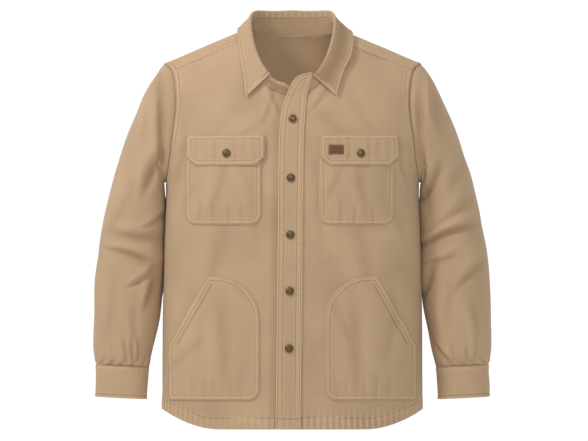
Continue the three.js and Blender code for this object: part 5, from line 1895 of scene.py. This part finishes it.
class JACKET_OT_hand_pockets(JacketPart):
    """Slant pockets with a round inner shoulder"""

    bl_idname = "jacket.hand_pockets"
    bl_label = "Hand pockets"

    def make(self, context):
        for word, mirror, seed in (("right", 1, 5.0), ("left", -1, 6.0)):
            sewn_on(
                context, f"hand_pocket_{word}", "hand_pocket", f"front_{word}", hand_corners(),
                POCKET_THICK, level_height(POCKET_LIFT),
                seed=seed, mirror=mirror, puff=2.0, core=30, creases=HAND_CREASES[word], mouth=mouth_line,
            )


class JACKET_OT_patch(JacketPart):
    """Plain leather patch on the wearer's left flap"""

    bl_idname = "jacket.patch"
    bl_label = "Patch"

    def make(self, context):
        leather = shared("brown_leather", leather_material, looks_of(context))
        piece, _ = laid_piece(
            context, "label", oblong(LABEL, 1.2, 1.2), PATCH_THICK, level_height(PATCH_LIFT),
            levels=PATCH_LINES, rows=(PATCH_ROW,), core=6, swell=0.1, pucker=0.05, puff=0, cloth=leather,
        )
        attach(piece, "root")
        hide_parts("label")


def area_light(name, turn, rise, away, size, watts, tint):
    """A round soft light aimed at the jacket's middle, placed by its turn from straight ahead, its
    rise over the horizon and its distance."""
    turn, rise = np.radians(turn), np.radians(rise)
    way = Vector((np.sin(turn) * np.cos(rise), -np.cos(turn) * np.cos(rise), np.sin(rise)))
    data = bpy.data.lights.new(name, "AREA")
    data.shape, data.size, data.energy, data.color = "DISK", size, watts, tint
    lamp = bpy.data.objects.new(name, data)
    lamp.location = Vector((0, 0, MIDDLE)) + away * way
    lamp.rotation_euler = (-way).to_track_quat("-Z", "Y").to_euler()
    bpy.context.scene.collection.objects.link(lamp)


class JACKET_OT_studio(JacketPart):
    """Pale floor, soft surroundings, two lights and the camera"""

    bl_idname = "jacket.studio"
    bl_label = "Studio"

    def make(self, context):
        scene, studio = context.scene, context.scene.jacket_studio
        turn = np.linspace(0, 2 * np.pi, 96, endpoint=False)
        radii = np.array([0.0, 500, 1500, 2600])[:, None]
        height = np.full((len(radii), len(turn)), studio.floor / MM)
        points = np.stack([radii * np.cos(turn), radii * np.sin(turn), height], -1)
        faces = ring_quads(len(radii), len(turn))[:, (0, 3, 2, 1)]
        made, shader, node, link = material("floor_paper")
        grain = noise(node, link, node("ShaderNodeTexCoord").outputs["Object"], 30.0, 3.0)
        shade = blend(node, link, grain, [c * 0.98 for c in studio.paper], list(studio.paper))
        link(shade, shader.inputs["Base Color"])
        sockets(shader, Roughness=0.9)
        add_mesh("floor", points.reshape(-1, 3), faces, made)

        world = bpy.data.worlds.new("studio")
        world.use_nodes = True
        nodes, links = world.node_tree.nodes, world.node_tree.links
        towards = nodes.new("ShaderNodeTexCoord")
        split = nodes.new("ShaderNodeSeparateXYZ")
        glow = nodes.new("ShaderNodeMapRange")
        for socket, value in zip(glow.inputs[1:5], (-0.2, 0.6, studio.around, studio.behind)):
            socket.default_value = value
        links.new(towards.outputs["Generated"], split.inputs[0])
        links.new(split.outputs[1], glow.inputs[0])
        links.new(glow.outputs[0], nodes["Background"].inputs[1])
        nodes["Background"].inputs[0].default_value = (1, 1, 1, 1)
        scene.world = world
        for name, (turn, rise, away, size, tint) in LIGHTS.items():
            area_light(name, turn, rise, away, size, getattr(studio, name), tint)

        data = bpy.data.cameras.new("camera")
        data.sensor_width = 36
        data.lens = 36 * studio.distance / studio.view_width
        data.clip_end = 80
        camera = bpy.data.objects.new("camera", data)
        camera.location = (0.0029, -studio.distance, MIDDLE)
        camera.rotation_euler = (np.pi / 2, 0, 0)
        scene.collection.objects.link(camera)
        scene.camera = camera
        scene.view_settings.view_transform = "Standard"


class JACKET_PT_panel(bpy.types.Panel):
    """Settings and parts of the jacket"""

    bl_idname = "JACKET_PT_panel"
    bl_label = "Shirt jacket"
    bl_space_type = "VIEW_3D"
    bl_region_type = "UI"
    bl_category = "Jacket"

    def draw(self, context):
        for group in (context.scene.jacket_looks, context.scene.jacket_studio):
            box = self.layout.box()
            for name in group.__annotations__:
                box.prop(group, name)
        for part in PARTS:
            self.layout.operator(part.bl_idname)


PARTS = (
    JACKET_OT_studio,
    JACKET_OT_fronts,
    JACKET_OT_back,
    JACKET_OT_yoke,
    JACKET_OT_sleeves,
    JACKET_OT_cuffs,
    JACKET_OT_collar,
    JACKET_OT_placket,
    JACKET_OT_chest_pockets,
    JACKET_OT_flaps,
    JACKET_OT_hand_pockets,
    JACKET_OT_patch,
)
GROUPS = (JacketLooks, JacketStudio)


def register():
    for group in (*GROUPS, *PARTS, JACKET_PT_panel):
        bpy.utils.register_class(group)
    bpy.types.Scene.jacket_looks = PointerProperty(type=JacketLooks)
    bpy.types.Scene.jacket_studio = PointerProperty(type=JacketStudio)


def unregister():
    del bpy.types.Scene.jacket_studio
    del bpy.types.Scene.jacket_looks
    for group in (JACKET_PT_panel, *PARTS[::-1], *GROUPS[::-1]):
        bpy.utils.unregister_class(group)


def main():
    """Register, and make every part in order."""
    register()
    for part in PARTS:
        group, name = part.bl_idname.split(".")
        getattr(getattr(bpy.ops, group), name)()


if __name__ == "__main__":
    main()
